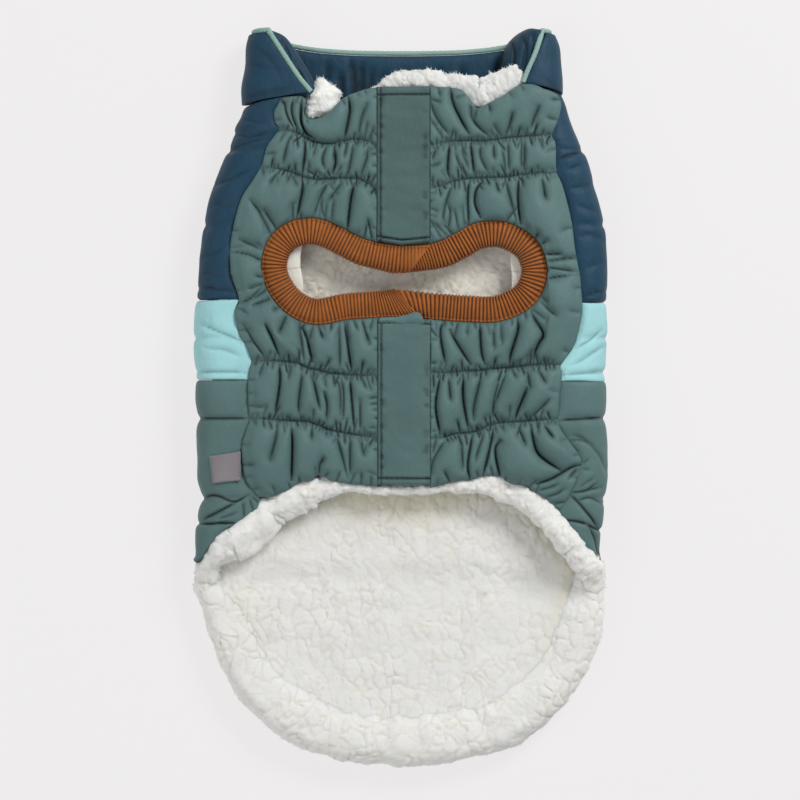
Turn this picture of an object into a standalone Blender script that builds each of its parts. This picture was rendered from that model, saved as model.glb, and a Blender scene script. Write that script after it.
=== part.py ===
"""A padded winter coat for a medium dog, laid flat with its front side up.

Units are metres in the scene and millimetres in the tables. +X is to the right, +Y to the neck
and +Z up. The back shell lies on the surface and folds up round both sides; the gathered front
panels close the body on top, and the tail flap runs on below the front hem.
"""
import math
from collections import namedtuple

import bmesh
import bpy
import numpy as np
from mathutils import Vector

MM = 0.001

# Walls and levels, from the surface up.
FOLD_RADIUS = 15.0          # the outer radius of the rounded sides, half the coat's height there
BACK_WALL = 7.5             # padded shell
TAIL_WALL = 5.0             # the flap is flatter
COLLAR_WALL = 6.0
LINING_WALL = 4.0           # sherpa on the back
FRONT_LINING_WALL = 3.2
GAP = 0.3                   # between two sewn pieces
SLANT_GAP = 0.45            # the same across the waving side seams
FRONT_FLOOR = 22.8          # underside of the front panels
FRONT_SEAM = 27.0           # top of a front panel where elastic draws it in
SEAM_CEILING = 22.5         # underside of a side wrap where it meets a front panel
FRONT_LINING_TOP = 22.2
MIN_WALL = 3.0

# The lining's own fold, inside the shell's.
LINING_FOLD_INSET = 9.2
LINING_FOLD_RADIUS = 7.0
LINING_FLAP = 30.2          # how far the lining climbs each fold
LINING_ENDS = {28: (15.0, 9.2), 29: (15.0, 9.2), 30: (6.0, 9.2), 31: (5.0, 10.0), 33: (0.8, 13.0)}
FRONT_LINING_INSET = 25.6   # from a fold's outer edge to the front lining
LINING_NECK_Y = 175.0
LINING_NECK_SHARE = 0.985   # its width at the neck against the row below
LINING_CORNER_INSET = 5.0   # the lining keeps inside the wall where the folds end

# Columns of the folded back: shares of the way up each fold, and steps across the underside.
WRAP_SHARES = (0.0, 0.13, 0.26, 0.39, 0.52, 0.65, 0.78, 0.91, 1.0)
UNDER_STEPS = 7
LINING_SHARES = (0.0, 0.25, 0.5, 0.75, 1.0)
LINING_STEPS = 4

# The shell dips and thins towards its seam with a front panel.
SEAM_DIP = 2.6
SEAM_DIP_START = 0.78
SEAM_WALL = 2.4
SEAM_FREE_ROWS = 5          # rows below the hem whose edge is free

# The tail flap's outline is a superellipse.
TAIL_CENTRE = (-0.8, -106.4)
TAIL_HALF_WIDTH = 113.2
TAIL_LENGTH = 96.8
TAIL_POWER = 2.15
TAIL_EDGE_INSET = 8.6       # shell and lining end here, under the rolled rim
TAIL_ROW_ANGLES = (-4, 6, 16, 27, 38, 49, 60, 70, 79)
TAIL_EDGE_SHARES = (0.04, 0.12, 0.22, 0.3)  # how the fold's columns open out over the flap

# One row for each section of the body: height along the coat, the outer edge of the fold and the
# seam to the front panels, on each side. pinch draws the sides in, groove marks a quilted seam
# across the back.
Section = namedtuple("Section", "left_y left_fold left_seam right_y right_fold right_seam pinch groove")
SECTIONS = [Section(*row) for row in (
    (164.2, -86.9, -64.9, 167.5, 89.1, 80.3, 2.0, 1.5),
    (160.9, -87.5, -66.6, 164.2, 89.7, 85.8, 0.6, 0.0),
    (155.9, -88.6, -69.3, 159.2, 91.3, 87.5, 0.0, 0.0),
    (150.4, -90.8, -68.8, 151.5, 93.5, 85.8, 0.4, 0.0),
    (146.6, -91.9, -66.6, 143.3, 96.8, 82.5, 0.9, 0.0),
    (142.7, -92.4, -69.3, 139.4, 98.5, 84.2, 0.3, 0.0),
    (137.2, -94.6, -73.2, 134.5, 101.2, 84.7, 1.0, 1.5),
    (131.7, -97.4, -74.8, 128.4, 103.4, 84.7, 0.3, 0.0),
    (126.2, -99.6, -76.5, 122.4, 105.1, 85.2, 0.0, 0.0),
    (118.0, -102.9, -81.4, 116.3, 106.2, 88.0, 0.9, 0.0),
    (108.1, -106.2, -87.5, 106.4, 109.5, 90.8, 0.2, 0.0),
    (94.3, -108.9, -91.3, 94.3, 112.2, 93.5, 0.5, 1.5),
    (80.6, -110.6, -93.5, 80.6, 113.3, 95.2, 0.0, 0.0),
    (66.3, -111.7, -93.0, 66.3, 113.9, 97.9, 0.6, 0.0),
    (53.1, -112.8, -88.6, 51.4, 113.3, 99.0, 2.2, 1.8),
    (46.5, -113.9, -90.8, 44.8, 113.3, 99.0, 0.5, 0.0),
    (34.4, -114.4, -88.6, 34.4, 113.9, 96.8, 0.0, 0.0),
    (26.7, -114.4, -84.2, 26.7, 113.3, 94.1, 0.0, 0.0),
    (19.5, -113.9, -82.0, 17.3, 112.8, 87.5, 0.6, 0.0),
    (14.0, -113.3, -83.1, 12.9, 112.2, 88.0, 1.6, 0.0),
    (9.1, -113.3, -83.6, 8.5, 113.3, 87.5, 2.2, 1.8),
    (-1.9, -113.3, -83.6, -1.9, 113.3, 86.4, 0.0, 0.0),
    (-11.8, -112.2, -83.1, -12.4, 112.8, 85.8, 2.0, 1.6),
    (-18.4, -112.8, -84.7, -18.4, 113.3, 87.5, 0.4, 0.0),
    (-26.1, -112.8, -86.9, -26.1, 113.9, 93.0, 0.0, 0.0),
    (-34.9, -112.2, -86.9, -34.9, 113.9, 98.5, 0.0, 0.0),
    (-45.9, -112.2, -84.7, -44.8, 113.9, 96.3, 0.5, 0.0),
    (-55.3, -110.0, -77.6, -56.4, 112.8, 90.8, 1.8, 1.6),
    (-63.5, -111.7, -80.3, -63.5, 112.2, 86.9, 0.4, 0.0),
    (-68.5, -112.2, -88.6, -70.7, 111.1, 90.8, 1.6, 0.0),
    (-73.4, -113.3, -96.8, -78.9, 110.0, 99.0, 0.4, 0.0),
    (-80.6, -113.3, -105.1, -84.4, 110.6, 104.5, 0.0, 0.0),
    (-87.2, -113.3, -110.6, -89.9, 111.7, 109.5, 0.0, 0.0),
    (-91.0, -113.9, -113.3, -94.3, 112.2, 111.7, 0.0, 0.0),
)]
NECK_ROW, SPLIT_ROW, AQUA_TOP, AQUA_BASE, LAST_ROW = 0, 13, 14, 20, 33
LEFT_HEM_ROW, RIGHT_HEM_ROW = 27, 28
LABEL_ROW = 25
BASE_ROWS = 4               # rows over which the slanted collar seam runs level
LINING_ROWS = (0, 3, 6, 9, 13, 18, 21, 24, 27, 28, 29, 30, 31, 33)
CHEST_LINING_ROWS = (3, 6, 9, SPLIT_ROW)
BELLY_LINING_ROWS = (SPLIT_ROW, 18, 21, 24, LEFT_HEM_ROW)
FRONT_LINING_COLUMNS = 11
NECK_LINING_DROP = -9.0     # from the neck's edge to the lining's
HEM_LINING_DROP = 1.0

# Height of the collar seam at the foot of each fold and at its outer edge.
BASE_LEFT = (163.0, 158.9)
BASE_RIGHT = (163.0, 165.6)

# The collar, from its seam to its free edge.
CollarRow = namedtuple("CollarRow", "left_end left_fold left_under middle right_under right_fold"
                                    " right_end radius")
COLLAR_ROWS = [CollarRow(*row) for row in (
    ((-50.8, 166.9), (-87.8, 159.5), 163.6, 163.6, 163.6, (89.2, 166.2), (68.4, 171.9), 15.0),
    ((-57.6, 175.2), (-88.0, 169.5), 171.0, 170.0, 171.0, (89.0, 174.5), (71.2, 179.0), 14.6),
    ((-64.4, 185.4), (-86.0, 181.0), 180.5, 176.5, 180.5, (88.2, 183.5), (74.8, 187.0), 14.0),
    ((-70.2, 194.4), (-83.6, 191.5), 188.5, 183.0, 188.5, (86.2, 192.0), (78.0, 194.4), 13.4),
    ((-74.0, 199.4), (-81.8, 198.6), 194.5, 188.0, 194.5, (83.6, 198.6), (80.0, 199.2), 12.8),
)]

# Rows of gathers on the front panels, from the side to the centre: x and y of a few points.
CHEST_PLACKET = (-13.0, 15.6)           # its left and right edge
CHEST_PLACKET_TOP = ((-13.0, 169.6), (15.6, 169.9))
CHEST_PLACKET_END = ((-13.0, 85.2), (0.6, 83.0), (15.6, 84.6))
BELLY_PLACKET = (-12.6, 16.0)
BELLY_PLACKET_TOP = ((-12.6, 43.0), (0.6, 43.4), (16.0, 42.2))
BELLY_PLACKET_END = ((-12.6, -48.3), (16.0, -48.5))
CENTRE_LAP = 1.0
CHEST_LEFT_ROWS = {
    0: ((-64.9, 164.2), (-55.6, 160.9), (-47.9, 154.6), (-38.0, 157.6), (-28.1, 165.3), (-13.2, 168.6)),
    4: ((-66.6, 146.6), (-47.3, 140.5), (-33.6, 138.9), (-13.2, 137.2)),
    8: ((-76.5, 126.2), (-55.6, 121.3), (-33.6, 119.6), (-12.1, 110.3)),
}
CHEST_RIGHT_ROWS = {
    0: ((80.3, 167.5), (67.1, 170.2), (57.2, 166.4), (42.4, 158.6), (33.6, 166.0), (16.0, 169.0)),
    4: ((82.5, 143.3), (54.5, 141.1), (32.5, 140.0), (16.0, 137.2)),
    8: ((85.2, 122.4), (54.5, 120.7), (29.7, 118.0), (16.0, 113.6)),
}
BELLY_LEFT_ROWS = {
    18: ((-82.0, 19.5), (-55.6, 17.9), (-12.7, 11.3)),
    22: ((-83.1, -11.8), (-55.6, -14.0), (-12.7, -22.8)),
    27: ((-77.6, -55.3), (-65.5, -53.6), (-52.8, -47.0), (-36.3, -46.5), (-12.7, -48.4)),
}
BELLY_RIGHT_ROWS = {
    18: ((87.5, 17.3), (54.5, 15.7), (17.1, 12.9)),
    22: ((85.8, -12.4), (49.0, -15.7), (17.6, -22.8)),
    28: ((86.9, -63.5), (76.5, -54.7), (62.7, -48.1), (49.0, -44.3), (16.5, -48.6)),
}
CHEST_PUFFS = {0: 9.0, 4: 9.0, 8: 10.5}
BELLY_PUFFS = {13: 10.0, 18: 9.5, 22: 10.0}
PANEL_COLUMNS = 16
PUFF_POWER = 0.55
SIDE_ROLL = 6.0             # how far in from its side seam a panel reaches full height
PLACKET_ROLL = 3.5

# Folds that the elastic draws: x and y of the upper and the lower end, and the depth.
Fold = namedtuple("Fold", "top_x top_y end_x end_y depth")
FOLD_WIDTH = 2.7
CHEST_LEFT_FOLDS = [Fold(*row) for row in (
    (-63.8, 158.7, -60.5, 146.6, 1.5), (-60.0, 158.7, -55.6, 144.9, 1.5), (-29.2, 163.6, -30.8, 141.1, 4),
    (-18.7, 159.8, -23.7, 142.2, 2), (-14.3, 153.2, -17.6, 141.1, 1.5),
    (-58.3, 144.9, -64.9, 126.8, 2), (-52.3, 140.0, -53.9, 121.3, 4), (-40.7, 137.2, -41.8, 124.6, 2),
    (-35.8, 135.6, -37.4, 121.8, 4), (-25.9, 139.4, -29.7, 120.2, 2), (-18.2, 136.7, -22.6, 120.2, 2),
    (-53.9, 120.2, -57.2, 98.2, 4), (-39.1, 118.0, -47.9, 98.2, 2), (-31.9, 118.0, -40.2, 106.4, 2),
    (-25.3, 116.9, -29.7, 90.5, 4), (-67.1, 123.5, -72.1, 116.3, 2), (-60.5, 122.4, -56.7, 115.2, 2),
    (-83.1, 108.1, -70.4, 87.2, 3), (-88.6, 86.1, -76.5, 80.6, 2), (-73.2, 105.3, -67.7, 90.5, 2),
)]
CHEST_RIGHT_FOLDS = [Fold(*row) for row in (
    (16.5, 164.2, 27.0, 142.7, 2), (27.0, 168.6, 36.9, 143.8, 4), (38.5, 157.6, 49.0, 142.2, 2),
    (61.1, 156.5, 57.2, 142.2, 2), (74.8, 160.3, 71.0, 146.6, 2),
    (19.2, 135.6, 17.1, 127.3, 1.5), (26.4, 137.2, 26.4, 119.1, 4), (34.1, 137.8, 36.9, 123.5, 2),
    (40.0, 138.3, 41.2, 121.8, 4), (46.5, 138.3, 48.3, 121.8, 2), (51.8, 139.4, 52.0, 127.3, 2),
    (58.2, 140.0, 57.7, 121.8, 2.5), (66.6, 141.1, 66.6, 123.5, 2.5),
    (29.2, 117.4, 23.7, 96.0, 4), (37.4, 118.0, 36.9, 94.3, 4), (45.6, 118.5, 44.5, 98.2, 4),
    (52.3, 118.0, 53.9, 108.1, 2), (57.2, 119.1, 63.3, 94.3, 3), (66.4, 120.2, 68.5, 98.3, 4),
    (77.0, 120.7, 79.2, 105.3, 2), (79.8, 72.3, 96.8, 75.1, 2),
)]
BELLY_LEFT_FOLDS = [Fold(*row) for row in (
    (-87.5, 50.9, -76.5, 59.7, 2.5), (-85.8, 39.3, -74.2, 21.2, 2), (-74.2, 38.8, -65.5, 20.1, 2),
    (-58.1, 41.0, -56.8, 17.3, 2.5), (-51.3, 37.7, -48.4, 19.0, 4), (-37.1, 41.0, -35.6, 14.6, 2.5),
    (-29.3, 41.0, -26.0, 13.5, 4),
    (-66.6, 17.3, -68.8, -10.2, 4), (-55.9, 13.5, -57.6, -10.2, 2.5), (-49.1, 14.6, -46.6, -7.4, 2.5),
    (-41.8, 6.3, -41.2, -12.9, 2), (-35.4, 11.3, -34.5, -10.2, 2.5), (-27.5, 10.2, -25.3, -18.4, 4),
    (-20.5, 10.2, -20.6, -18.4, 2),
    (-67.7, -15.7, -72.1, -34.9, 2), (-60.0, -17.3, -60.0, -45.9, 4), (-46.6, -28.2, -46.1, -43.2, 2),
    (-36.2, -21.2, -32.7, -44.8, 4), (-27.0, -22.3, -27.1, -43.2, 2), (-20.5, -23.9, -18.9, -34.9, 2),
)]
BELLY_RIGHT_FOLDS = [Fold(*row) for row in (
    (23.1, 41.0, 24.2, 19.0, 4), (30.1, 36.6, 37.4, 17.3, 4), (43.5, 39.3, 45.7, 17.3, 4),
    (51.6, 37.7, 52.2, 25.6, 2), (63.3, 42.1, 60.0, 17.3, 4), (74.8, 42.1, 72.1, 21.2, 4),
    (20.9, 11.3, 21.5, -21.2, 4), (28.0, 10.2, 27.4, -4.7, 2), (35.1, 11.8, 36.8, -18.4, 4),
    (44.5, 11.8, 42.7, -12.9, 2.5), (54.9, 10.2, 52.6, -12.9, 2.5), (68.3, 13.5, 63.3, -12.9, 4),
    (76.5, 12.4, 73.1, -7.4, 2),
    (24.2, -23.9, 19.5, -43.2, 2), (31.6, -23.9, 30.1, -40.4, 2), (39.0, -21.2, 38.4, -45.9, 4),
    (47.8, -18.4, 46.4, -43.2, 3), (56.4, -21.9, 56.5, -44.8, 4), (63.9, -18.2, 68.2, -28.3, 2),
    (71.5, -15.7, 87.5, -40.4, 4),
)]

# The knitted band round the leg opening: its middle line, from the centre out and back.
BAND_WIDTH = 13.6
BAND_STEPS = 72
BAND_RIB = 0.45             # half the height of a rib
BAND_JOIN_X = 0.6
BAND_EDGE_ROOM = 0.6        # a straight-sided panel clears the curved band
BAND_LEFT = ((0.6, 75.1), (-19.8, 78.4), (-30.8, 83.3), (-41.8, 88.6), (-51.7, 90.2), (-61.1, 87.2),
             (-67.1, 80.6), (-69.3, 71.8), (-67.7, 64.1), (-62.7, 55.8), (-55.6, 49.8), (-45.7, 46.8),
             (-30.8, 49.5), (-14.3, 50.6), (0.6, 50.9))
BAND_RIGHT = ((0.6, 75.1), (21.5, 77.3), (32.5, 82.2), (42.4, 87.5), (52.3, 88.8), (61.1, 86.1),
              (68.8, 80.6), (72.6, 71.8), (72.1, 64.1), (68.2, 56.4), (60.0, 50.9), (50.1, 48.1),
              (35.2, 48.4), (16.0, 49.8), (0.6, 50.9))
# Across the band, from its outer edge to the leg: share of the width, height, and how far it ribs.
BAND_PROFILE = ((-0.5, 23.0, 0.0), (-0.5, 27.6, 0.3), (-0.24, 30.0, 1.0), (0.22, 30.2, 1.0),
                (0.5, 27.8, 0.6), (0.45, 23.0, 0.0))

PLACKET_FLOOR = 24.5
PLACKET_TOP = 32.6
PLACKET_EDGE = 30.6
PLACKET_ROWS, PLACKET_COLUMNS = 9, 6
PLACKET_WAVE, PLACKET_WAVES = 0.3, 5    # it waves a little along its length
TAPE_SIZE = (25.6, 12.0, 1.4)
TAPE_FLOOR = 22.85
CHEST_TAPE_END = 171.6
BELLY_TAPE_END = -50.6

# Rolled fleece along the front hem and the neck; the neck's roll is a row of x, y and radius.
HEM_ROLL = (5.6, 4.4)       # half width and half height
HEM_ROLL_DROP = 5.0         # from the hem's top to the roll's centre
HEM_ROLL_CENTRE = (-13.0, 15.0)
HEM_ROLL_LAST_ROW = 31      # the fold's last row that the roll starts from
HEM_ROLL_RINGS = 34
NECK_ROLL_RINGS = 24
NECK_ROLL = ((-45.6, 160.8, 3.4), (-40.0, 165.8, 6.2), (-33.5, 170.2, 4.2), (-24.0, 172.6, 3.2),
             (-14.0, 175.5, 3.8), (-4.0, 177.7, 5.0), (10.0, 178.0, 5.3), (21.0, 177.4, 5.2),
             (33.0, 174.4, 5.2), (41.5, 168.0, 5.0), (48.0, 169.0, 4.8), (56.0, 174.2, 4.6),
             (62.0, 174.6, 3.2))
NECK_ROLL_CENTRE = 22.9
NECK_ROLL_MOST = 5.0        # its half height, at most
ROLL_SIDES = 8

# The tail's rim rolls round the flap's edge: distance in from the outline, and height.
RIM_PROFILE = ((0.4, 8.0), (1.6, 2.4), (4.2, 0.0), (7.6, 0.0), (7.8, 9.8), (17.6, 9.8),
               (20.0, 12.6), (17.8, 16.6), (12.4, 19.0), (6.0, 18.2), (1.6, 13.8))
RIM_START, RIM_END, RIM_STEPS = -3.5, 183.5, 44
RIM_GATHER = 0.8

PIPING_RADIUS = 1.4
PIPING_GAP = 0.8
LABEL_CORNERS = ((-105.0, -32.7), (-87.8, -30.0), (-87.8, -46.0), (-103.2, -47.6))
LABEL_ROWS, LABEL_COLUMNS = 3, 6
LABEL_WALL = 1.0
LABEL_LIFT = 0.35

COLOURS = {
    "navy": ((0.025, 0.062, 0.110), 0.42),
    "aqua": ((0.350, 0.660, 0.670), 0.42),
    "green": ((0.100, 0.175, 0.168), 0.42),
    "mint": ((0.340, 0.520, 0.450), 0.55),
    "rust": ((0.350, 0.115, 0.030), 0.85),
    "sherpa": ((0.760, 0.750, 0.700), 0.95),
    "tape": ((0.780, 0.780, 0.760), 0.80),
    "grey": ((0.180, 0.165, 0.175), 0.70),
}


def clear_scene():
    for obj in list(bpy.data.objects):
        bpy.data.objects.remove(obj, do_unlink=True)


def material(name):
    colour, roughness = COLOURS[name]
    mat = bpy.data.materials.get(name) or bpy.data.materials.new(name)
    mat.use_nodes = True
    shader = mat.node_tree.nodes["Principled BSDF"]
    shader.inputs["Base Color"].default_value = (*colour, 1.0)
    shader.inputs["Roughness"].default_value = roughness
    return mat


def add_object(name, mesh_builder, colour, collection):
    mesh = bpy.data.meshes.new(name)
    mesh_builder.to_mesh(mesh)
    mesh_builder.free()
    mesh.shade_smooth()
    mesh.set_sharp_from_angle(angle=math.radians(50))
    obj = bpy.data.objects.new(name, mesh)
    obj.data.materials.append(material(colour))
    collection.objects.link(obj)
    return obj


def grid_cell(vert, rows, columns):
    """Which row and column of a fresh two-unit grid a vertex stands on."""
    return (round((vert.co.y + 1) / 2 * (rows - 1)), round((vert.co.x + 1) / 2 * (columns - 1)))


def wall(name, outer, inner, colour, collection):
    """A closed wall between two grids of points, [row][column], in millimetres."""
    rows, columns = outer.shape[:2]
    bm = bmesh.new()
    bmesh.ops.create_grid(bm, x_segments=columns - 1, y_segments=rows - 1, size=1)
    sheet = {vert: grid_cell(vert, rows, columns) for vert in bm.verts}
    lifted = bmesh.ops.extrude_face_region(bm, geom=bm.faces[:], use_keep_orig=True)
    under = [item for item in lifted["geom"] if isinstance(item, bmesh.types.BMVert)]
    under = {vert: grid_cell(vert, rows, columns) for vert in under}
    for points, verts in ((outer, sheet), (inner, under)):
        for vert, (row, column) in verts.items():
            vert.co = Vector(points[row][column]) * MM
    bmesh.ops.recalc_face_normals(bm, faces=bm.faces[:])
    return add_object(name, bm, colour, collection)


def roll(name, sections, colour, collection):
    """A closed tube through sections, [section][point], with flat ends, in millimetres."""
    count, sides = sections.shape[:2]
    bm = bmesh.new()
    bmesh.ops.create_grid(bm, x_segments=sides, y_segments=count - 1, size=1)
    for vert in bm.verts:
        row, column = grid_cell(vert, count, sides + 1)
        vert.co = Vector(sections[row][column % sides]) * MM
    bmesh.ops.remove_doubles(bm, verts=bm.verts[:], dist=1e-7)
    rim = [edge for edge in bm.edges if edge.is_boundary]
    bmesh.ops.holes_fill(bm, edges=rim, sides=0)
    bmesh.ops.recalc_face_normals(bm, faces=bm.faces[:])
    return add_object(name, bm, colour, collection)


def smooth_line(points, count):
    """Evenly spaced points on a smooth curve through the given ones."""
    points = np.array(points, dtype=float)
    ends = (2 * points[0] - points[1], 2 * points[-1] - points[-2])
    knots = np.vstack((ends[0], points, ends[1]))
    curve = []
    for a, b, c, d in zip(knots, knots[1:], knots[2:], knots[3:]):
        for t in np.linspace(0, 1, 12, endpoint=False):
            curve.append(0.5 * (2 * b + (c - a) * t + (2 * a - 5 * b + 4 * c - d) * t ** 2
                                + (3 * b - a - 3 * c + d) * t ** 3))
    curve.append(points[-1])
    return even_points(curve, count)


def even_points(points, count):
    points = np.array(points, dtype=float)
    steps = np.linalg.norm(np.diff(points[:, :2], axis=0), axis=1)
    along = np.concatenate(([0], np.cumsum(steps)))
    wanted = np.linspace(0, along[-1], count)
    return np.stack([np.interp(wanted, along, axis) for axis in points.T], axis=1)


def line_normals(points):
    """Unit normals in plan, to the left of the way the points run."""
    run = np.gradient(points[:, :2], axis=0)
    run /= np.linalg.norm(run, axis=1)[:, None]
    return np.stack((-run[:, 1], run[:, 0]), axis=1)


# The folded back.

def climb_to(reach, radius):
    """Length up a fold to the point that lies reach in from its outer edge, over the top."""
    if reach >= radius:
        return math.pi * radius + reach - radius
    return radius * (math.pi - math.asin(1 - reach / radius))


def fold_point(side, fold_x, radius, climb, inset, floor=0.0):
    """Point of a fold at a length up from the surface. side is -1 on the left and 1 on the right."""
    turn = min(climb / radius, math.pi)
    centre = fold_x - side * radius
    x = centre + side * (radius - inset) * math.sin(turn)
    x -= side * max(0.0, climb - math.pi * radius)
    z = floor + radius - (radius - inset) * math.cos(turn)
    return x, z


def side_level(side, row):
    return SECTIONS[row].left_y if side < 0 else SECTIONS[row].right_y


def wrap_y(side, row, climb, length):
    """Height of a section row on a fold; the rows near the collar lean with its seam."""
    level = side_level(side, row)
    if row >= BASE_ROWS:
        return level
    top, low = side_level(side, 0), side_level(side, BASE_ROWS)
    under, edge = BASE_LEFT if side < 0 else BASE_RIGHT
    seam = float(np.interp(climb, (0, FOLD_RADIUS * math.pi / 2, length), (under, edge, top)))
    return low + (level - low) / (top - low) * (seam - low)


def side_values(side, row):
    section = SECTIONS[row]
    if side < 0:
        return section.left_fold, section.left_seam
    return section.right_fold, section.right_seam


def shell_wrap(side, row):
    """Outer and inner points up one fold, from the surface to the front seam."""
    fold_x, seam_x = side_values(side, row)
    length = climb_to(abs(seam_x - fold_x), FOLD_RADIUS)
    outer, inner = [], []
    for share in WRAP_SHARES:
        climb = share * length
        turn = min(climb / FOLD_RADIUS, math.pi)
        pinch = SECTIONS[row].pinch * (0 if share == 0 else abs(math.cos(turn)))
        if turn > math.pi / 2:
            near_seam = max(0.0, (share - SEAM_DIP_START) / (1 - SEAM_DIP_START))
            pinch += SEAM_DIP * near_seam ** 2 * abs(math.cos(turn))
        y = wrap_y(side, row, climb, length)
        x, z = fold_point(side, fold_x, FOLD_RADIUS, climb, pinch)
        outer.append((x, y, z))
        x, z = fold_point(side, fold_x, FOLD_RADIUS, climb, BACK_WALL)
        inner.append((x, y, z))
    if row < LAST_ROW - SEAM_FREE_ROWS:
        outer[-1] = (seam_x, outer[-1][1], max(outer[-1][2], SEAM_CEILING + SEAM_WALL))
        inner[-1] = (seam_x, inner[-1][1], SEAM_CEILING)
        before = inner[-2]
        clear_x = side * max(side * before[0], side * seam_x + GAP)
        inner[-2] = (clear_x, before[1], min(before[2], SEAM_CEILING))
    return outer, inner


def full_row(left, right, groove, floor, top, steps=UNDER_STEPS):
    """Join two folds across the underside; each is a pair of point lists."""
    rows = []
    for layer, height in ((0, floor + groove), (1, top)):
        start, end = np.array(left[layer][0]), np.array(right[layer][0])
        start[2] = end[2] = height
        under = [start + (end - start) * step / steps for step in range(1, steps)]
        rows.append(list(reversed(left[layer][1:])) + [start] + under + [end] + list(right[layer][1:]))
    return rows


def shell_row(row):
    groove = SECTIONS[row].groove
    return full_row(shell_wrap(-1, row), shell_wrap(1, row), groove, 0.0, BACK_WALL)


def tail_outline(angle, inset=0.0):
    """Point of the flap's outline; 0 degrees is the right-hand corner, 90 the tip."""
    c, s = math.cos(math.radians(angle)), math.sin(math.radians(angle))
    power = 2 / TAIL_POWER
    x = (TAIL_HALF_WIDTH - inset) * math.copysign(abs(c) ** power, c)
    y = -(TAIL_LENGTH - inset) * math.copysign(abs(s) ** power, s)
    return TAIL_CENTRE[0] + x, TAIL_CENTRE[1] + y


def tail_row(step, floor, top, inset, wraps, columns):
    """Row of the flap: the columns that made the folds, then those across, then the folds again."""
    angle = TAIL_ROW_ANGLES[step]
    right = tail_outline(angle, inset)
    left = tail_outline(180 - angle, inset)
    edge = TAIL_EDGE_SHARES[min(step, len(TAIL_EDGE_SHARES) - 1)]
    share = np.interp(range(columns), (0, wraps, columns - 1 - wraps, columns - 1), (0, edge, 1 - edge, 1))
    x = left[0] + (right[0] - left[0]) * share
    y = np.full(columns, right[1])
    return [np.stack((x, y, np.full(columns, z)), axis=1) for z in (floor, top)]


def shell_part(name, first, last, colour, collection, tail=False):
    """Part of the back between two section rows; neighbours are parted by half a gap each."""
    rows = [shell_row(row) for row in range(first, last + 1)]
    if tail:
        columns = len(rows[0][0])
        for step in range(len(TAIL_ROW_ANGLES)):
            rows.append(tail_row(step, 0.0, TAIL_WALL, TAIL_EDGE_INSET, len(WRAP_SHARES) - 1, columns))
    outer = np.array([row[0] for row in rows])
    inner = np.array([row[1] for row in rows])
    for layer in (outer, inner):
        if first > NECK_ROW:
            layer[0, :, 1] -= GAP / 2
        if not tail:
            layer[-1, :, 1] += GAP / 2
    return wall(name, outer, inner, colour, collection)


def lining_wrap(side, row):
    length, inward = LINING_ENDS.get(row, (LINING_FLAP, LINING_FOLD_INSET))
    fold_x = side_values(side, row)[0] - side * inward
    layers = []
    for inset in (0.0, LINING_WALL):
        points = []
        for share in LINING_SHARES:
            x, z = fold_point(side, fold_x, LINING_FOLD_RADIUS, share * length, inset, BACK_WALL + GAP)
            points.append((x, side_level(side, row), z))
        layers.append(points)
    return layers


def lining_back(collection):
    floor = BACK_WALL + GAP
    rows = []
    for row in LINING_ROWS:
        rows.append(full_row(lining_wrap(-1, row), lining_wrap(1, row), 0.0, floor, floor + LINING_WALL,
                             LINING_STEPS))
    neck = [np.array(layer) for layer in rows[0]]
    for layer in neck:
        layer[:, 1] = LINING_NECK_Y
        layer[:, 0] *= LINING_NECK_SHARE
    rows.insert(0, neck)
    low = TAIL_WALL + GAP
    columns = len(rows[0][0])
    for step in range(len(TAIL_ROW_ANGLES)):
        inset = TAIL_EDGE_INSET + (LINING_CORNER_INSET if step == 0 else 2 * GAP)
        rows.append(tail_row(step, low, low + LINING_WALL, inset, len(LINING_SHARES) - 1, columns))
    outer = np.array([row[0] for row in rows])
    inner = np.array([row[1] for row in rows])
    return wall("lining_back", outer, inner, "sherpa", collection)


# The collar.

def collar_row(row, inset):
    points = []
    for side in (-1, 1):
        end = row.left_end if side < 0 else row.right_end
        fold = row.left_fold if side < 0 else row.right_fold
        under = row.left_under if side < 0 else row.right_under
        length = climb_to(abs(end[0] - fold[0]), row.radius)
        half = row.radius * math.pi / 2
        lengths = (0.0, half, max(length, half + 0.1))
        heights = (under, fold[1], end[1])
        wrap = []
        for share in WRAP_SHARES:
            climb = share * length
            x, z = fold_point(side, fold[0], row.radius, climb, inset)
            wrap.append((x, float(np.interp(climb, lengths, heights)), z))
        points.append(wrap)
    left, right = points
    start, end = np.array(left[0]), np.array(right[0])
    across = []
    for step in range(1, UNDER_STEPS):
        share = step / UNDER_STEPS
        point = start + (end - start) * share
        bow = abs(2 * share - 1) ** 3
        point[1] = row.middle + (point[1] - row.middle) * bow
        across.append(point)
    return list(reversed(left)) + across + right


def collar_grids():
    outer = np.array([collar_row(row, 0.0) for row in COLLAR_ROWS])
    inner = np.array([collar_row(row, COLLAR_WALL) for row in COLLAR_ROWS])
    return outer, inner


def piping_route(outer, inner):
    """Along both wings' free edges and the collar's top, just clear of them."""
    middle = (outer + inner) / 2
    lift = PIPING_RADIUS + PIPING_GAP

    def away(edge, behind):
        run = edge - behind
        return run / np.linalg.norm(run, axis=-1)[..., None] * lift

    left = middle[:, 0] + away(middle[:, 0], middle[:, 1])
    right = middle[:, -1] + away(middle[:, -1], middle[:, -2])
    up = away(middle[-1], middle[-2])
    return np.vstack((left, left[-1] + up[0], middle[-1] + up, right[-1] + up[-1], right[::-1]))


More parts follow.
